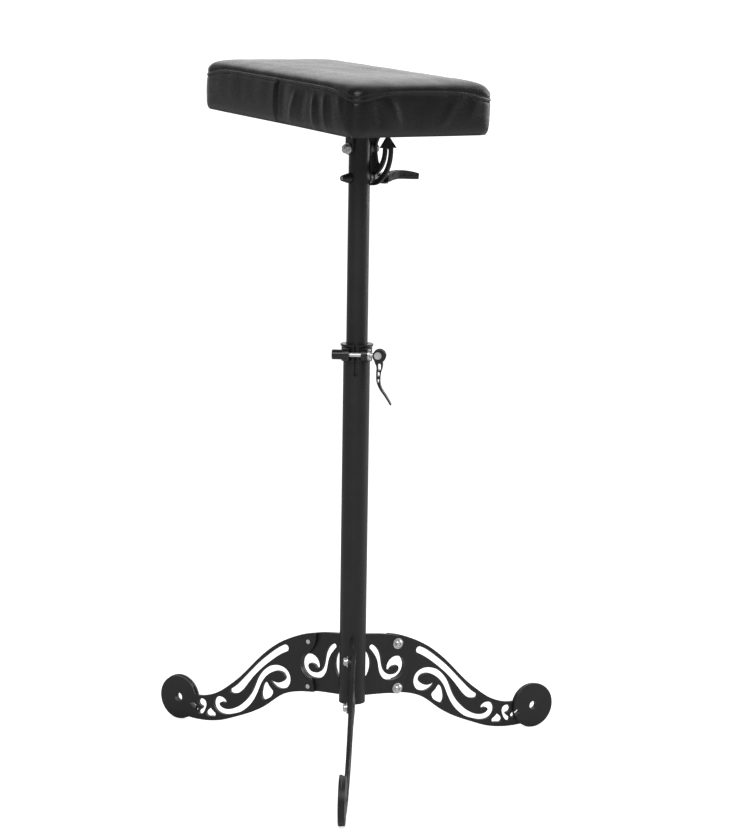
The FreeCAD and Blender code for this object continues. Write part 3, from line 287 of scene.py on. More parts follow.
cast_black = powder_coat("cast_black_coat", shade=0.018, gloss=0.30, peel=0.12)
finish_nodes(cast_black, "clamp_collar", "collar_lever", "tilt_lever", "collar_nut", "tilt_nut")


# Nylon: the guide bush in the lower tube, the glide round the upper tube's foot and the plug
# under the lower tube are moulded in dull black nylon and pushed into place.

def moulded_nylon(name, shade):
    """Dull moulded plastic: fine sparked grain in the bump and a slight cloud in the colour."""
    material, add, join = shader_sheet(name)
    where = add("ShaderNodeTexCoord")
    grain = add("ShaderNodeTexNoise", {"Scale": 1800.0})
    cloud = add("ShaderNodeTexNoise", {"Scale": 60.0})
    join(where.outputs["Object"], grain.inputs["Vector"])
    join(where.outputs["Object"], cloud.inputs["Vector"])
    tint = add("ShaderNodeValToRGB")
    set_tones(tint, (shade * 0.85,) * 3, (shade * 1.15,) * 3)
    rough = add("ShaderNodeMapRange", {"To Min": 0.48, "To Max": 0.66})
    bump = add("ShaderNodeBump", {"Strength": 0.3, "Distance": 0.0002})
    body = add("ShaderNodeBsdfPrincipled")
    out = add("ShaderNodeOutputMaterial")
    join(cloud.outputs["Fac"], tint.inputs["Fac"])
    join(tint.outputs["Color"], body.inputs["Base Color"])
    join(cloud.outputs["Fac"], rough.inputs["Value"])
    join(rough.outputs[0], body.inputs["Roughness"])
    join(grain.outputs["Fac"], bump.inputs["Height"])
    join(bump.outputs[0], body.inputs["Normal"])
    join(body.outputs[0], out.inputs[0])
    return material


finish_nodes(moulded_nylon("black_nylon", shade=0.02), "guide_bush", "tube_glide", "column_end_cap")


# The cushion: foam on a plywood board under black grained vinyl. A top panel and a side band meet
# in a flat seam sewn with two rows of stitches. The band's ends overlap on one long side, and the
# vinyl is drawn tight round the board's lower edge and turned under it as a hem.

cushion_tilt = joints["cushion_tilt"]
pivot = np.array(cushion_tilt["pos_m"])
pad_across = Vector(cushion_tilt["axis"])
from_level = Matrix.Rotation(math.radians(-cushion_tilt["range_deg"][0]), 3, pad_across)
pad_up = from_level @ Vector((0, 0, 1))
pad_axes = np.array([pad_across, pad_up.cross(pad_across), pad_up])


def places_of(mesh):
    """Places of a mesh's vertices as rows."""
    flat = np.empty(len(mesh.vertices) * 3)
    mesh.vertices.foreach_get("co", flat)
    return flat.reshape(-1, 3)


def put_places(mesh, places):
    """Moves a mesh's vertices to the places in the rows."""
    mesh.vertices.foreach_set("co", places.ravel())
    mesh.update()


def own_box(name):
    """Lowest and highest corner of a solid along the cushion's own axes, from its vertices."""
    own = (places_of(frame["nodes"][name].data) - pivot) @ pad_axes.T
    return own.min(axis=0), own.max(axis=0)


pad_low, pad_high = own_box("pad_cover")
pad_middle = np.array([(pad_low[0] + pad_high[0]) / 2, (pad_low[1] + pad_high[1]) / 2, pad_low[2]])
half_wide, half_long, pad_tall = (pad_high - pad_low) / (2, 2, 1)
pad_corner = 0.0155
seam_rise, seam_dip, seam_reach = 0.0565, 0.0100, 0.036
row_space = 0.0050
side_zone, side_soft = 0.008, 0.0012
hem_width, hem_rise = 0.0240, 0.0016
cell_size = 0.0042
full_grip, grip_fade, seam_grip = 0.002, 0.006, 0.45
puff_limit, puff_moments = 0.0055, 20
crown_passes, crown_start, crown_blend = 14, 0.004, 0.008
board_gap, top_gap, under_gap = 0.0009, 0.001, 0.0004


def from_pad(places):
    """Places given from the middle of the cushion's underside along its own axes, in the frame."""
    return (places + pad_middle) @ pad_axes + pivot


def plan_ring(inset, height, corner, count=10):
    """Rounded rectangle: each quarter circle stands at a corner of a smaller rectangle inside."""
    angle = np.linspace(0, np.pi / 2, count)
    quarter = np.concatenate([angle + turn for turn in (0, np.pi / 2, np.pi, 3 * np.pi / 2)])
    side_x = np.repeat([1, -1, -1, 1], count)
    side_y = np.repeat([1, 1, -1, -1], count)
    x = side_x * (half_wide - inset - corner) + corner * np.cos(quarter)
    y = side_y * (half_long - inset - corner) + corner * np.sin(quarter)
    return np.stack([x, y, np.full_like(x, height)], axis=1)


def mesh_piece(name, places, faces, body):
    """Mesh object of computed places that rides on a body."""
    mesh = bpy.data.meshes.new(name)
    mesh.from_pydata(places.tolist(), [], faces)
    mesh.shade_smooth()
    piece = bpy.data.objects.new(name, mesh)
    bpy.context.scene.collection.objects.link(piece)
    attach(piece, body)
    return piece


def ring_faces(rings, around):
    """Four-cornered faces between rings of equal count, as whole index arrays."""
    row, step = np.meshgrid(np.arange(rings - 1), np.arange(around), indexing="ij")
    start, after = row * around + step, row * around + (step + 1) % around
    return np.stack(
        [start, after, after + around, start + around], axis=-1).reshape(-1, 4).tolist()


def seam_height(places):
    """The seam is level along the sides and dips to each corner by a bell curve of distance."""
    gap_x = half_wide - np.abs(places[:, 0])
    gap_y = half_long - np.abs(places[:, 1])
    near = np.exp(-(gap_x ** 2 + gap_y ** 2) / seam_reach ** 2)
    return seam_rise - seam_dip * near


def stuffed_form():
    """Rings of the slack cover: straight sides, then a crown by a high power of the way in."""
    slack, crown_power, crown_room = 0.0022, 11.0, 0.0045
    heights = [0.0, 0.003, 0.018, 0.036, seam_rise - 0.004]
    rings = [plan_ring(slack, height, pad_corner) for height in heights]
    for inset in (0.0015, 0.005, 0.011, 0.020, 0.034, 0.052, 0.072):
        fall = (1 - inset / half_wide) ** crown_power
        height = seam_rise + (pad_tall - crown_room - seam_rise) * (1 - fall)
        rings.append(plan_ring(slack + inset, height, pad_corner))
    places = np.concatenate(rings)
    around = len(rings[0])
    faces = ring_faces(len(rings), around)
    faces.append(list(range(around))[::-1])
    faces.append(list(range(len(places) - around, len(places))))
    return places, faces


def settled_mesh(piece):
    """Takes the modifiers' result as the piece's own mesh and clears them."""
    view = bpy.context.evaluated_depsgraph_get()
    result = bpy.data.meshes.new_from_object(piece.evaluated_get(view))
    piece.modifiers.clear()
    piece.data = result
    return result


def remeshed(piece, edge):
    """The piece's closed mesh made again of even four-cornered cells."""
    cells = piece.modifiers.new("cells", "REMESH")
    cells.mode = "VOXEL"
    cells.voxel_size = edge
    settled_mesh(piece)


def puffed(piece, most):
    """Cloth under pressure, held at the board and the seam; no point moves further than most."""
    start = places_of(piece.data)
    held = piece.vertex_groups.new(name="held")
    to_seam = np.abs(start[:, 2] - seam_height(start))
    grip = np.clip(1.0 - (start[:, 2] - full_grip) / grip_fade, 0, 1)
    grip = np.maximum(grip, seam_grip * np.exp(-(to_seam / grip_fade) ** 2))
    for level in np.unique(np.round(grip, 1)):
        if level > 0:
            chosen = np.nonzero(np.round(grip, 1) == level)[0]
            held.add(chosen.tolist(), float(level), "REPLACE")
    cloth = piece.modifiers.new("puff", "CLOTH")
    rules = cloth.settings
    rules.quality = 6
    rules.mass = 0.35
    rules.tension_stiffness = 22
    rules.compression_stiffness = 18
    rules.shear_stiffness = 8
    rules.bending_stiffness = 1.2
    rules.use_pressure = True
    rules.uniform_pressure_force = 4.0
    rules.vertex_group_mass = "held"
    rules.effector_weights.gravity = 0.0
    for moment in range(1, puff_moments + 1):
        bpy.context.scene.frame_set(moment)
    mesh = settled_mesh(piece)
    moved = places_of(mesh) - start
    length = np.linalg.norm(moved, axis=1, keepdims=True)
    put_places(mesh, start + moved * np.minimum(1.0, most / np.maximum(length, 1e-9)))
    bpy.context.scene.frame_set(1)


def finer(piece):
    """One level of subdivision, taken as the piece's own mesh."""
    smooth = piece.modifiers.new("finer", "SUBSURF")
    smooth.levels = smooth.render_levels = 1
    settled_mesh(piece)


def edge_gap(x, y):
    """Distance in plan to the nearest side of the cushion."""
    return np.minimum(half_wide - np.abs(x), half_long - np.abs(y))


def finer_seam(mesh):
    """Splits the cells within a few millimetres of the seam, so that its grooves stay crisp."""
    places = places_of(mesh)
    below = places[:, 2] - seam_height(places)
    gap = edge_gap(places[:, 0], places[:, 1])
    margin, depth = 0.004, 0.014
    chosen = (below > -row_space - margin) & (below < margin) & (gap < depth)
    form = bmesh.new()
    form.from_mesh(mesh)
    edges = [edge for edge in form.edges
             if chosen[edge.verts[0].index] and chosen[edge.verts[1].index]]
    bmesh.ops.subdivide_edges(form, edges=edges, cuts=1, use_grid_fill=True)
    form.to_mesh(mesh)
    form.free()


# Folds pressed into the band: side, place along it, lean, middle height, half height, width, rise
LONG_NEAR, LONG_FAR, SHORT_NEAR, SHORT_FAR = (0, -1), (0, 1), (1, -1), (1, 1)
FOLDS = [
    (LONG_NEAR, -0.020, -0.10, 0.026, 0.024, 0.0100, -0.0013),
    (LONG_NEAR, -0.045, -0.35, 0.024, 0.018, 0.0050, 0.0016),
    (LONG_NEAR, -0.068, -0.30, 0.028, 0.017, 0.0085, -0.0011),
    (LONG_NEAR, -0.094, 0.02, 0.023, 0.019, 0.0042, 0.0016),
    (LONG_NEAR, -0.107, 0.05, 0.022, 0.018, 0.0050, -0.0012),
    (LONG_NEAR, -0.120, 0.08, 0.024, 0.019, 0.0040, 0.0016),
    (LONG_NEAR, -0.136, 0.10, 0.024, 0.018, 0.0060, -0.0008),
    (LONG_NEAR, -0.153, 0.25, 0.036, 0.012, 0.0050, 0.0008),
    (SHORT_NEAR, -0.047, -0.40, 0.028, 0.017, 0.0075, 0.0016),
    (SHORT_NEAR, -0.068, -0.30, 0.028, 0.015, 0.0070, -0.0012),
    (SHORT_NEAR, -0.015, -0.15, 0.026, 0.016, 0.0120, -0.0008),
    (SHORT_NEAR, 0.034, 0.55, 0.028, 0.016, 0.0075, 0.0009),
    (SHORT_NEAR, 0.072, 0.35, 0.034, 0.014, 0.0080, 0.0008),
    (LONG_FAR, 0.118, -0.15, 0.025, 0.018, 0.0050, 0.0013),
    (LONG_FAR, 0.090, -0.25, 0.026, 0.017, 0.0060, -0.0010),
    (LONG_FAR, -0.128, 0.20, 0.024, 0.018, 0.0052, 0.0014),
    (LONG_FAR, -0.030, 0.10, 0.026, 0.016, 0.0090, -0.0008),
    (SHORT_FAR, 0.052, 0.25, 0.026, 0.017, 0.0055, 0.0013),
    (SHORT_FAR, -0.038, -0.30, 0.027, 0.016, 0.0070, 0.0010),
]
# Heights and widths of the seam's raised strip, of its two grooves and of the band's lapped join
strip_rise, strip_width = 0.0009, 0.0021
upper_cut, upper_width = 0.0013, 0.0013
lower_cut, lower_width = 0.0011, 0.0012
join_place, join_step, join_ahead, join_behind = -0.0035, 0.0010, 0.030, 0.012
join_cut, join_width = 0.0012, 0.0016
crease_back, crease_cut, crease_width = 0.006, 0.0006, 0.0013
join_zone, join_top, join_foot = 0.012, 0.004, 0.006
seam_zone, seam_soft, fold_zone = 0.010, 0.0015, 0.007
ripple_rise, ripple_from = 0.00018, 0.02


def bell(distance, width):
    """Bell curve of a distance: 1 at 0, and 1/e at the width."""
    return np.exp(-(distance / width) ** 2)


def soft_step(value, line, soft):
    """1 where the value is below a line and 0 above it, with a logistic curve between."""
    return 1 / (1 + np.exp((value - line) / soft))


def sewn(places, outward):
    """Seam, folds and lapped join: sums of bell-shaped ridges and grooves along the outward way."""
    x, y, z = places.T
    below = z - seam_height(places)
    near_side = soft_step(edge_gap(x, y), seam_zone, seam_soft)
    rise = near_side * (strip_rise * bell(below + row_space / 2, strip_width)
                        - upper_cut * bell(below, upper_width)
                        - lower_cut * bell(below + row_space, lower_width))
    for (axis, side), place, lean, middle, reach, width, strength in FOLDS:
        limit = (half_wide, half_long)[axis]
        along = places[:, 1 - axis]
        on_side = soft_step(limit - side * places[:, axis], fold_zone, side_soft)
        window = np.exp(-((z - middle) / reach) ** 4)
        rise += on_side * window * strength * bell(along - place - lean * (z - middle), width)
    band = (x < -half_wide + join_zone) * soft_step(below, -join_top, side_soft)
    band *= 1 - np.exp(-np.maximum(z, 0) / join_foot)
    ahead = y - join_place
    lap = np.where(ahead > 0, join_step * np.exp(-ahead / join_ahead),
                   -join_step * np.exp(ahead / join_behind))
    rise += band * (lap - join_cut * bell(ahead + join_width, join_width)
                    - crease_cut * bell(ahead + crease_back, crease_width))
    ripple = (np.sin(61 * x + 43 * y + 1.3) * np.sin(37 * y - 52 * x + 0.4)
              + np.sin(118 * x - 83 * y) * np.sin(95 * y + 71 * x + 2.1))
    rise += ripple_rise * ripple * (z > ripple_from)
    return rise[:, None] * outward


# Where the lower edge hangs and where it lifts: corner, height and reach
NEAR_CORNER, RIGHT_CORNER, LEFT_CORNER, FAR_CORNER = (-1, -1), (1, -1), (-1, 1), (1, 1)
HANGS = [(NEAR_CORNER, 0.0010, 0.100), (FAR_CORNER, 0.0007, 0.090)]
LIFTS = [(RIGHT_CORNER, 0.0034, 0.050), (LEFT_CORNER, 0.0012, 0.045), (FAR_CORNER, 0.0018, 0.050)]
side_hang, side_reach = 0.0013, 0.030
even_lift = 0.0007
hang_fade, lift_fade = 0.020, 0.0035


def corner_bell(x, y, corner, width):
    """Bell curve of the distance to one corner of the cushion."""
    gap_x, gap_y = x - corner[0] * half_wide, y - corner[1] * half_long
    return np.exp(-(gap_x ** 2 + gap_y ** 2) / width ** 2)


def edge_shift(x, y):
    """How far the lower edge hangs or lifts: bells at the corners, fading inwards from the edge."""
    inwards = np.maximum(edge_gap(x, y), 0)
    slack, lift = 0.0, even_lift
    for corner, height, reach in HANGS:
        slack = slack - height * corner_bell(x, y, corner, reach)
    slack = slack - side_hang * np.exp(-np.maximum(half_wide + x, 0) / side_reach)
    for corner, height, reach in LIFTS:
        lift = lift + height * corner_bell(x, y, corner, reach)
    return slack * np.exp(-inwards / hang_fade) + lift * np.exp(-inwards / lift_fade)


def bellied(places):
    """Parabolic bulge of the band, drawn in at the lower edge; a crown fuller on its far half."""
    x, y, z = places.T
    bulge, draw, draw_fade = 0.0013, 0.0024, 0.0030
    fullness, far_blend, edge_fade = 0.0017, 0.05, 0.010
    share = np.clip(z / seam_rise, 0, 1)
    push = bulge * (1 - (2 * share - 1) ** 2) - draw * np.exp(-z / draw_fade)
    push *= z < seam_rise
    near_x = soft_step(half_wide - np.abs(x), side_zone, side_soft)
    near_y = soft_step(half_long - np.abs(y), side_zone, side_soft)
    fade = np.exp(-np.maximum(z, 0) / edge_fade)
    crown = np.clip((z - seam_rise) / (pad_tall - seam_rise), 0, 1)
    fuller = fullness * crown * (1 + np.tanh(x / far_blend)) / 2
    return np.stack([x + np.sign(x) * near_x * push, y + np.sign(y) * near_y * push,
                     z + fade * edge_shift(x, y) + fuller], axis=1)


def evened(mesh, times):
    """Crown smoothed: repeated half steps of its vertices to the mean of their neighbours."""
    places = places_of(mesh)
    ends = np.empty(len(mesh.edges) * 2, dtype=np.int64)
    mesh.edges.foreach_get("vertices", ends)
    one, other = ends.reshape(-1, 2).T
    count = np.bincount(ends, minlength=len(places))[:, None]
    above = places[:, 2:] - seam_height(places)[:, None]
    crown = np.clip((above - crown_start) / crown_blend, 0, 1)
    for _ in range(times):
        total = np.zeros_like(places)
        np.add.at(total, one, places[other])
        np.add.at(total, other, places[one])
        places = places + crown * (total / count - places) / 2
    put_places(mesh, places)


def normals_of(mesh):
    """Outward directions at a mesh's vertices as rows."""
    flat = np.empty(len(mesh.vertices) * 3)
    mesh.vertex_normals.foreach_get("vector", flat)
    return flat.reshape(-1, 3)


cover_places, cover_faces = stuffed_form()
cushion_cover = mesh_piece("cushion_cover", cover_places, cover_faces, "cushion")
remeshed(cushion_cover, cell_size)
puffed(cushion_cover, puff_limit)
evened(cushion_cover.data, crown_passes)
finer(cushion_cover)
cover_mesh = cushion_cover.data
finer_seam(cover_mesh)
cover_places = places_of(cover_mesh)
swollen = np.abs(cover_places).max(axis=0)
cover_places = cover_places * (half_wide, half_long, pad_tall) / swollen
put_places(cover_mesh, cover_places)
cover_places = cover_places + sewn(cover_places, normals_of(cover_mesh))

# Inside the hem the underside rises into the board, where the dust cloth covers it
under_line, hem_soft = 0.0012, 0.0008
underside = cover_places[:, 2] < under_line
from_edge = edge_gap(cover_places[:, 0], cover_places[:, 1])
inside = soft_step(hem_width, from_edge, hem_soft)
cover_places[:, 2] = np.where(
    underside, hem_rise * inside, np.maximum(cover_places[:, 2], 0.0))
cover_places = bellied(cover_places)

# The vinyl keeps clear of the board: outside its edge on the straight sides, and under its hem
board_low, board_high = own_box("pad_board")
board_half = (board_high - board_low)[:2] / 2 + board_gap
board_rise, board_top = board_low[2] - pad_low[2], board_high[2] - pad_low[2]
outside = np.abs(cover_places[:, :2])
at_board = ((cover_places[:, 2:] < board_top + top_gap)
            & (outside > (half_wide - side_zone, half_long - side_zone)))
at_board &= outside[:, ::-1] < (half_long - pad_corner, half_wide - pad_corner)
cover_places[:, :2] = np.where(
    at_board, np.sign(cover_places[:, :2]) * np.maximum(outside, board_half), cover_places[:, :2])
hem_start, hem_stop = 0.0040, hem_width - 0.002
under_hem = underside & (from_edge > hem_start) & (from_edge < hem_stop)
cover_places[:, 2] = np.where(
    under_hem, np.minimum(cover_places[:, 2], board_rise - under_gap), cover_places[:, 2])
put_places(cover_mesh, cover_places)


def vinyl_finish():
    """Black vinyl: cells of about a millimetre in the bump, cloudy gloss, a faint dust tone."""
    material, add, join = shader_sheet("black_vinyl")
    where = add("ShaderNodeTexCoord")
    bend = add("ShaderNodeTexNoise", {"Scale": 160.0, "Detail": 2.0})
    shift = add("ShaderNodeMix", {"Factor": 0.0012}, data_type="RGBA", blend_type="LINEAR_LIGHT")
    grain = add("ShaderNodeTexVoronoi", {"Scale": 820.0}, feature="DISTANCE_TO_EDGE")
    fine = add("ShaderNodeTexNoise", {"Scale": 1500.0, "Detail": 3.0})
    cloud = add("ShaderNodeTexNoise", {"Scale": 14.0, "Detail": 6.0, "Roughness": 0.62})
    for noise in (bend, fine, cloud):
        join(where.outputs["Object"], noise.inputs["Vector"])
    join(where.outputs["Object"], shift.inputs["A"])
    join(bend.outputs["Color"], shift.inputs["B"])
    join(shift.outputs["Result"], grain.inputs["Vector"])
    cells = add("ShaderNodeMapRange", {"From Max": 0.18})
    join(grain.outputs["Distance"], cells.inputs["Value"])
    low_bump = add("ShaderNodeBump", {"Strength": 0.20, "Distance": 0.0004})
    fine_bump = add("ShaderNodeBump", {"Strength": 0.10, "Distance": 0.0002})
    join(cells.outputs[0], low_bump.inputs["Height"])
    join(fine.outputs["Fac"], fine_bump.inputs["Height"])
    join(low_bump.outputs[0], fine_bump.inputs["Normal"])
    tint = add("ShaderNodeValToRGB")
    set_tones(tint, (0.0048, 0.0049, 0.0056), (0.0095, 0.0098, 0.0112), 0.32, 0.72)
    rough = add("ShaderNodeMapRange", {
        "From Min": 0.3, "From Max": 0.7, "To Min": 0.22, "To Max": 0.32})
    skin = add("ShaderNodeBsdfPrincipled")
    out = add("ShaderNodeOutputMaterial")
    join(cloud.outputs["Fac"], tint.inputs["Fac"])
    join(tint.outputs["Color"], skin.inputs["Base Color"])
    join(cloud.outputs["Fac"], rough.inputs["Value"])
    join(rough.outputs[0], skin.inputs["Roughness"])
    join(fine_bump.outputs[0], skin.inputs["Normal"])
    join(skin.outputs[0], out.inputs[0])
    return material


cover_mesh.materials.append(vinyl_finish())
put_places(cover_mesh, from_pad(cover_places))
cover_mesh.shade_smooth()
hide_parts("pad_cover", "pad_foam")


# Stitching: two rows of black bonded thread run round the cushion, one on each side of the seam's
# raised strip. Every stitch is a short capsule that dips into the vinyl at both ends.

stitch_pitch, stitch_length, thread_thick = 0.0045, 0.0033, 0.00042
row_drops = (-0.0002, row_space + 0.0002)
stitch_proud, stitch_dip = 0.00025, 0.00055
ring_gap = 0.004


def stitch_row(cover, drop, pitch):
    """Places and directions of stitches at even steps round the cushion, by rays on the cover."""
    ring = plan_ring(-ring_gap, 0.0, pad_corner + ring_gap, count=24)
    closed = np.vstack([ring, ring[:1]])
    travel = np.concatenate([[0], np.cumsum(np.linalg.norm(np.diff(closed, axis=0), axis=1))])
    steps = np.linspace(0, travel[-1], int(travel[-1] / pitch), endpoint=False)
    outer = np.stack([np.interp(steps, travel, closed[:, axis]) for axis in range(3)], axis=1)
    clipped = outer.copy()
    clipped[:, 0] = np.clip(outer[:, 0], -half_wide, half_wide)
    clipped[:, 1] = np.clip(outer[:, 1], -half_long, half_long)
    outer[:, 2] = seam_height(clipped) - drop
    ahead = np.roll(outer, -1, axis=0) - np.roll(outer, 1, axis=0)
    ahead /= np.linalg.norm(ahead, axis=1, keepdims=True)
    inward = np.stack([-ahead[:, 1], ahead[:, 0], np.zeros(len(ahead))], axis=1)
    inward /= np.linalg.norm(inward, axis=1, keepdims=True)
    hits = [cover.ray_cast(Vector(place), Vector(way)) for place, way in zip(outer, inward)]
    on_skin = np.array([hit[0] if hit[0] else place for hit, place in zip(hits, outer)])
    return on_skin, ahead, -inward


def stitches(on_skin, ahead, outward, length, thick):
    """Capsules: circles carried along the seam, sinking by a parabola towards the ends."""
    along = np.linspace(-1, 1, 7)
    around = np.linspace(0, 2 * np.pi, 6, endpoint=False)
    fat = thick * np.sqrt(np.clip(1 - along ** 4, 0.02, 1))
    up = np.cross(ahead, outward)
    centre = on_skin[:, None, :] + ahead[:, None, :] * (along * length / 2)[None, :, None]
    centre += outward[:, None, :] * (stitch_proud - stitch_dip * along ** 2)[None, :, None]
    spread = (np.cos(around)[None, None, :, None] * outward[:, None, None, :]
              + np.sin(around)[None, None, :, None] * up[:, None, None, :])
    places = centre[:, :, None, :] + spread * fat[None, :, None, None]
    return places.reshape(-1, 3), len(on_skin), len(along), len(around)


def bar_faces(count, rows, around):
    """Faces of many bars with flat ends, as whole index arrays."""
    one = np.array(ring_faces(rows, around))
    starts = np.arange(count)[:, None, None] * rows * around
    sides = (one[None] + starts).reshape(-1, 4).tolist()
    low_cap = (np.arange(around)[::-1][None] + starts[:, :, 0]).tolist()
    high_cap = (np.arange(around)[None] + (rows - 1) * around + starts[:, :, 0]).tolist()
    return sides + low_cap + high_cap


cover_now = BVHTree.FromPolygons(
    cover_places.tolist(), [tuple(face.vertices) for face in cover_mesh.polygons])
rows_of_thread = [stitch_row(cover_now, drop, stitch_pitch) for drop in row_drops]
thread = [np.concatenate(parts) for parts in zip(*rows_of_thread)]
stitch_places, *stitch_counts = stitches(*thread, stitch_length, thread_thick)
cushion_stitching = mesh_piece(
    "cushion_stitching", from_pad(stitch_places), bar_faces(*stitch_counts), "cushion")


def thread_finish():
    """Bonded polyester thread: satin black with fine twisted strands in its bump."""
    material, add, join = shader_sheet("black_thread")
    where = add("ShaderNodeTexCoord")
    strands = add("ShaderNodeTexWave", {"Scale": 900.0, "Distortion": 1.5})
    bump = add("ShaderNodeBump", {"Strength": 0.4, "Distance": 0.0002})
    tint = add("ShaderNodeValToRGB")
    set_tones(tint, (0.010, 0.010, 0.011), (0.030, 0.030, 0.032))
    thread_skin = add("ShaderNodeBsdfPrincipled", {"Roughness": 0.55})
    out = add("ShaderNodeOutputMaterial")
    join(where.outputs["Object"], strands.inputs["Vector"])
    join(strands.outputs["Fac"], bump.inputs["Height"])
    join(strands.outputs["Fac"], tint.inputs["Fac"])
    join(tint.outputs["Color"], thread_skin.inputs["Base Color"])
    join(bump.outputs[0], thread_skin.inputs["Normal"])
    join(thread_skin.outputs[0], out.inputs[0])
    return material


cushion_stitching.data.materials.append(thread_finish())


# The board of the cushion is bare birch plywood. The bracket's screws and the staples go into it,
# and the vinyl's hem and the dust cloth cover it from below.

def plywood_finish():
    """Plywood: grain stretched along the board, in pale and brown bands, and a dull sheen."""
    material, add, join = shader_sheet("plywood")
    where = add("ShaderNodeTexCoord")
    turned_grain = add("ShaderNodeMapping", {"Scale": (14.0, 1.2, 60.0)})
    grain = add("ShaderNodeTexNoise", {"Scale": 6.0, "Detail": 6.0})
    tint = add("ShaderNodeValToRGB")
    set_tones(tint, (0.40, 0.27, 0.15), (0.68, 0.52, 0.34))
    bump = add("ShaderNodeBump", {"Strength": 0.2, "Distance": 0.0003})
    wood = add("ShaderNodeBsdfPrincipled", {"Roughness": 0.62})
    out = add("ShaderNodeOutputMaterial")
    join(where.outputs["Object"], turned_grain.inputs["Vector"])
    join(turned_grain.outputs[0], grain.inputs["Vector"])
    join(grain.outputs["Fac"], tint.inputs["Fac"])
    join(grain.outputs["Fac"], bump.inputs["Height"])
    join(tint.outputs["Color"], wood.inputs["Base Color"])
    join(bump.outputs[0], wood.inputs["Normal"])
    join(wood.outputs[0], out.inputs[0])
    return material


finish_nodes(plywood_finish(), "pad_board")


# Dust cloth: black woven polypropylene stretched over the board inside the vinyl's hem. Its edge
# puckers a little, in step with the staples.

cloth_trim, cloth_gap, cloth_thick = 0.0006, 0.00055, 0.0005
cloth_low, cloth_high = own_box("base_cloth")
cloth_wide, cloth_long = (cloth_high - cloth_low)[:2] - cloth_trim
cloth_level = cloth_high[2] - pad_low[2] - cloth_gap
pucker_deep, pucker_fade, sway_deep = 0.00022, 0.010, 0.00007
staple_pitch = 0.030


def dust_sheet(across, along):
    """Level grid with a faint sway of sines, scalloped at the staple pitch near its edges."""
    x, y = np.meshgrid(
        np.linspace(-0.5, 0.5, across), np.linspace(-0.5, 0.5, along), indexing="ij")
    x, y = x * cloth_wide, y * cloth_long
    near_x, near_y = cloth_wide / 2 - np.abs(x), cloth_long / 2 - np.abs(y)
    pucker = (np.abs(np.sin(np.pi * y / staple_pitch)) * np.exp(-near_x / pucker_fade)
              + np.abs(np.sin(np.pi * x / staple_pitch)) * np.exp(-near_y / pucker_fade))
    sway = np.sin(47 * x + 0.6) * np.sin(39 * y - 0.4) + 0.5 * np.sin(88 * x - 61 * y)
    z = cloth_level - pucker_deep * pucker + sway_deep * sway
    places = np.stack([x, y, z], axis=-1).reshape(-1, 3)
    row, step = np.meshgrid(np.arange(across - 1), np.arange(along - 1), indexing="ij")
    start = row * along + step
    faces = np.stack([start, start + 1, start + along + 1, start + along], axis=-1)
    return places, faces.reshape(-1, 4).tolist()


sheet_places, sheet_faces = dust_sheet(across=84, along=164)
dust_cloth = mesh_piece("dust_cloth", from_pad(sheet_places), sheet_faces, "cushion")
wall = dust_cloth.modifiers.new("wall", "SOLIDIFY")
wall.thickness = cloth_thick
wall.offset = -1.0
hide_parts("base_cloth")


def cloth_finish():
    """Plain weave: crossed waves one thread apart, in the bump and in the colour."""
    material, add, join = shader_sheet("black_weave")
    where = add("ShaderNodeTexCoord")
    cloth_turn = math.atan2(pad_across.y, pad_across.x)
    level = add("ShaderNodeMapping", {"Rotation": (0, 0, -cloth_turn)})
    join(where.outputs["Object"], level.inputs["Vector"])
    weave = add("ShaderNodeMath", operation="MULTIPLY")
    for socket, direction in enumerate(("X", "Y")):
        wave = add("ShaderNodeTexWave", {
            "Scale": 160.0, "Distortion": 0.6, "Detail Scale": 3.0}, bands_direction=direction)
        join(level.outputs[0], wave.inputs["Vector"])
        join(wave.outputs["Fac"], weave.inputs[socket])
    bump = add("ShaderNodeBump", {"Strength": 0.5, "Distance": 0.0004})
    tint = add("ShaderNodeValToRGB")
    set_tones(tint, (0.007, 0.007, 0.008), (0.030, 0.030, 0.031))
    cloth = add("ShaderNodeBsdfPrincipled", {"Roughness": 0.85, "Sheen Weight": 0.25})
    out = add("ShaderNodeOutputMaterial")
    join(weave.outputs[0], bump.inputs["Height"])
    join(weave.outputs[0], tint.inputs["Fac"])
    join(tint.outputs["Color"], cloth.inputs["Base Color"])
    join(bump.outputs[0], cloth.inputs["Normal"])
    join(cloth.outputs[0], out.inputs[0])
    return material


dust_cloth.data.materials.append(cloth_finish())


# Staples: 10 mm crown staples of flat galvanised wire pin the vinyl's hem to the board, about one
# every 30 mm. Only the crowns show; their legs go up through the vinyl.

staple_inset, staple_crown = 0.0150, 0.0100
staple_wire, staple_thin = 0.0011, 0.0005
staple_first, staple_end = 0.034, 0.030
staple_askew, staple_sunk = 0.16, 0.0001
bend_rise, bend_start, bend_length = 0.0012, 0.86, 0.14


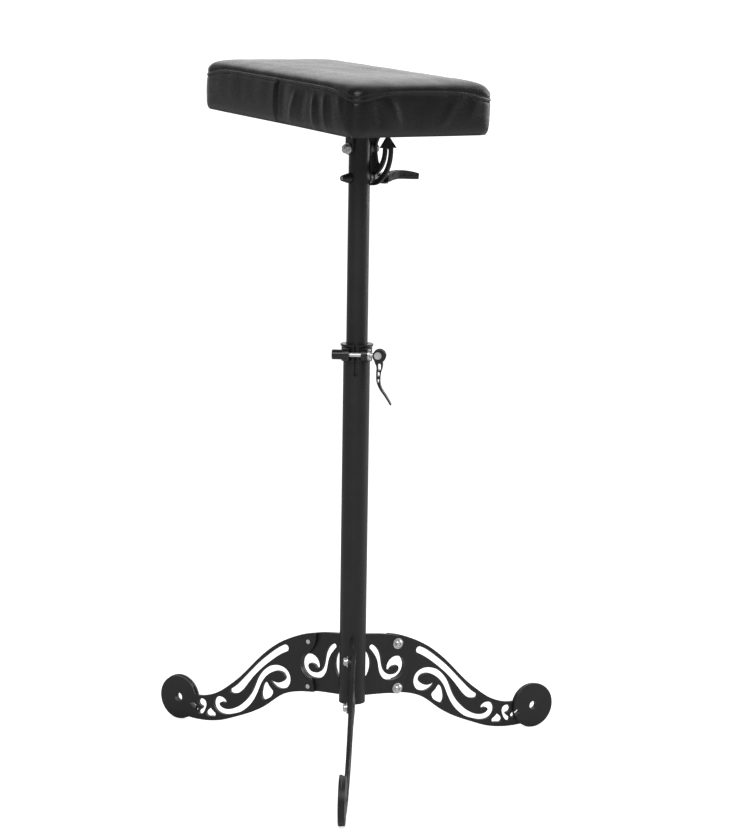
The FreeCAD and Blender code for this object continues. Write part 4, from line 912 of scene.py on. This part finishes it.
def staple_crowns():
    """Flat bars whose ends bend up by a parabola, set along the hem and slightly askew."""
    count_x, count_y = (
        int(2 * (half - staple_end) / staple_pitch) for half in (half_wide, half_long))
    along_x = (np.arange(count_x + 1) / count_x - 0.5) * 2 * (half_wide - staple_first)
    along_y = (np.arange(count_y + 1) / count_y - 0.5) * 2 * (half_long - staple_first)
    x = np.concatenate([along_x, along_x, np.full_like(along_y, half_wide - staple_inset),
                        np.full_like(along_y, staple_inset - half_wide)])
    y = np.concatenate([np.full_like(along_x, half_long - staple_inset),
                        np.full_like(along_x, staple_inset - half_long), along_y, along_y])
    turn = np.concatenate([np.zeros(2 * len(along_x)), np.full(2 * len(along_y), np.pi / 2)])
    turn = (turn + staple_askew * np.sin(np.arange(len(turn)) * 2.4))[:, None, None]
    u = np.linspace(-1, 1, 9)
    rise = bend_rise * np.clip((np.abs(u) - bend_start) / bend_length, 0, 1) ** 2
    long = (u * staple_crown / 2)[:, None]
    side = (np.array([-1, 1, 1, -1]) * staple_wire / 2)[None]
    thin = (np.array([-1, -1, 1, 1]) * staple_thin / 2)[None]
    high = rise[:, None] + thin - staple_sunk + edge_shift(x, y)[:, None, None]
    px = x[:, None, None] + long * np.cos(turn) - side * np.sin(turn)
    py = y[:, None, None] + long * np.sin(turn) + side * np.cos(turn)
    return np.stack([px, py, high], axis=-1).reshape(-1, 3), len(turn), len(u), 4


crown_places, *crown_counts = staple_crowns()
hem_staples = mesh_piece(
    "hem_staples", from_pad(crown_places), bar_faces(*crown_counts), "cushion")
hem_staples.data.shade_flat()
hem_staples.data.materials.append(bright_zinc)


# Welds: short fillet beads join each hub plate to the lower tube at its top and bottom, each foot
# disc to its leg, and the slotted plate and the strap to the plate under the cushion. They are
# coated with the frame.

hub_bead, disc_bead, bracket_bead = 0.0016, 0.0015, 0.0014
bead_bite = 0.0002
wave_deep, wave_pitch = 0.10, 0.0022
leg_turns = [Matrix.Rotation(leg * 2 * math.pi / 3, 3, "Z") for leg in range(3)]


def weld_beads(starts, ends, size):
    """Bars with rounded ends, swelling and thinning by a sine like frozen ripples."""
    starts, ends = np.asarray(starts), np.asarray(ends)
    rows, around = 40, 10
    t = np.linspace(0, 1, rows)
    angle = np.linspace(0, 2 * np.pi, around, endpoint=False)
    reach = np.linalg.norm(ends - starts, axis=1)
    way = (ends - starts) / reach[:, None]
    side = np.cross(way, np.where(np.abs(way[:, 2:]) > 0.9, (1.0, 0, 0), (0, 0, 1.0)))
    side /= np.linalg.norm(side, axis=1, keepdims=True)
    other = np.cross(way, side)
    ripple = 1 + wave_deep * np.sin(2 * np.pi * t[None] * reach[:, None] / wave_pitch)
    fat = size * ripple * np.clip(1 - np.abs(2 * t - 1) ** 14, 0.02, 1)[None] ** 0.5
    centre = starts[:, None] + (ends - starts)[:, None] * t[None, :, None]
    spread = (np.cos(angle)[None, :, None] * side[:, None]
              + np.sin(angle)[None, :, None] * other[:, None])
    places = centre[:, :, None] + spread[:, None] * fat[:, :, None, None]
    return places.reshape(-1, 3), len(starts), rows, around


hub_low, hub_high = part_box("hub_plate_right")
tube_low, tube_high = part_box("column_tube")
tube_radius = (tube_high[0] - tube_low[0]) / 2
tube_middle = Vector(((tube_high[0] + tube_low[0]) / 2, (tube_high[1] + tube_low[1]) / 2, 0))
bead_spans = ((hub_low[2] + 0.006, hub_low[2] + 0.023), (hub_high[2] - 0.020, hub_high[2] - 0.004))
starts, ends = [], []
for spin in leg_turns:
    for face in (hub_low[1] - tube_middle.y, hub_high[1] - tube_middle.y):
        corner = Vector((math.sqrt(tube_radius ** 2 - face ** 2), face, 0))
        for low, high in bead_spans:
            starts.append(tube_middle + spin @ corner + Vector((0, 0, low)))
            ends.append(tube_middle + spin @ corner + Vector((0, 0, high)))
bead_places, *bead_counts = weld_beads(starts, ends, hub_bead)
hub_welds = mesh_piece("hub_welds", bead_places, bar_faces(*bead_counts), "base")

disc_low, disc_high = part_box("foot_disc_right")
disc_middle = (disc_low + disc_high) / 2
disc_radius = (disc_high[2] - disc_low[2]) / 2
disc_face = Vector((disc_middle[0] - tube_middle.x, disc_high[1] - tube_middle.y, disc_middle[2]))
disc_sides = (math.radians(152), math.radians(196))
half_span = 0.16
starts, ends = [], []
for spin in leg_turns:
    for tilt in disc_sides:
        for reach, places in ((-half_span, starts), (half_span, ends)):
            rim = Vector((math.cos(tilt + reach) * disc_radius, 0,
                          math.sin(tilt + reach) * disc_radius))
            places.append(tube_middle + spin @ (rim + disc_face))
bead_places, *bead_counts = weld_beads(starts, ends, disc_bead)
disc_welds = mesh_piece("disc_welds", bead_places, bar_faces(*bead_counts), "base")

starts, ends = [], []
for name, reach in (("slotted_plate", 0.017), ("bracket_strap", 0.0065)):
    low, high = own_box(name)
    for face in (low[0], high[0]):
        starts.append((face, -reach, high[2] - bead_bite))
        ends.append((face, reach, high[2] - bead_bite))
bead_places, *bead_counts = weld_beads(starts, ends, bracket_bead)
bracket_welds = mesh_piece(
    "bracket_welds", bead_places @ pad_axes + pivot, bar_faces(*bead_counts), "cushion")
for piece in (hub_welds, disc_welds, bracket_welds):
    piece.data.materials.append(satin_black)
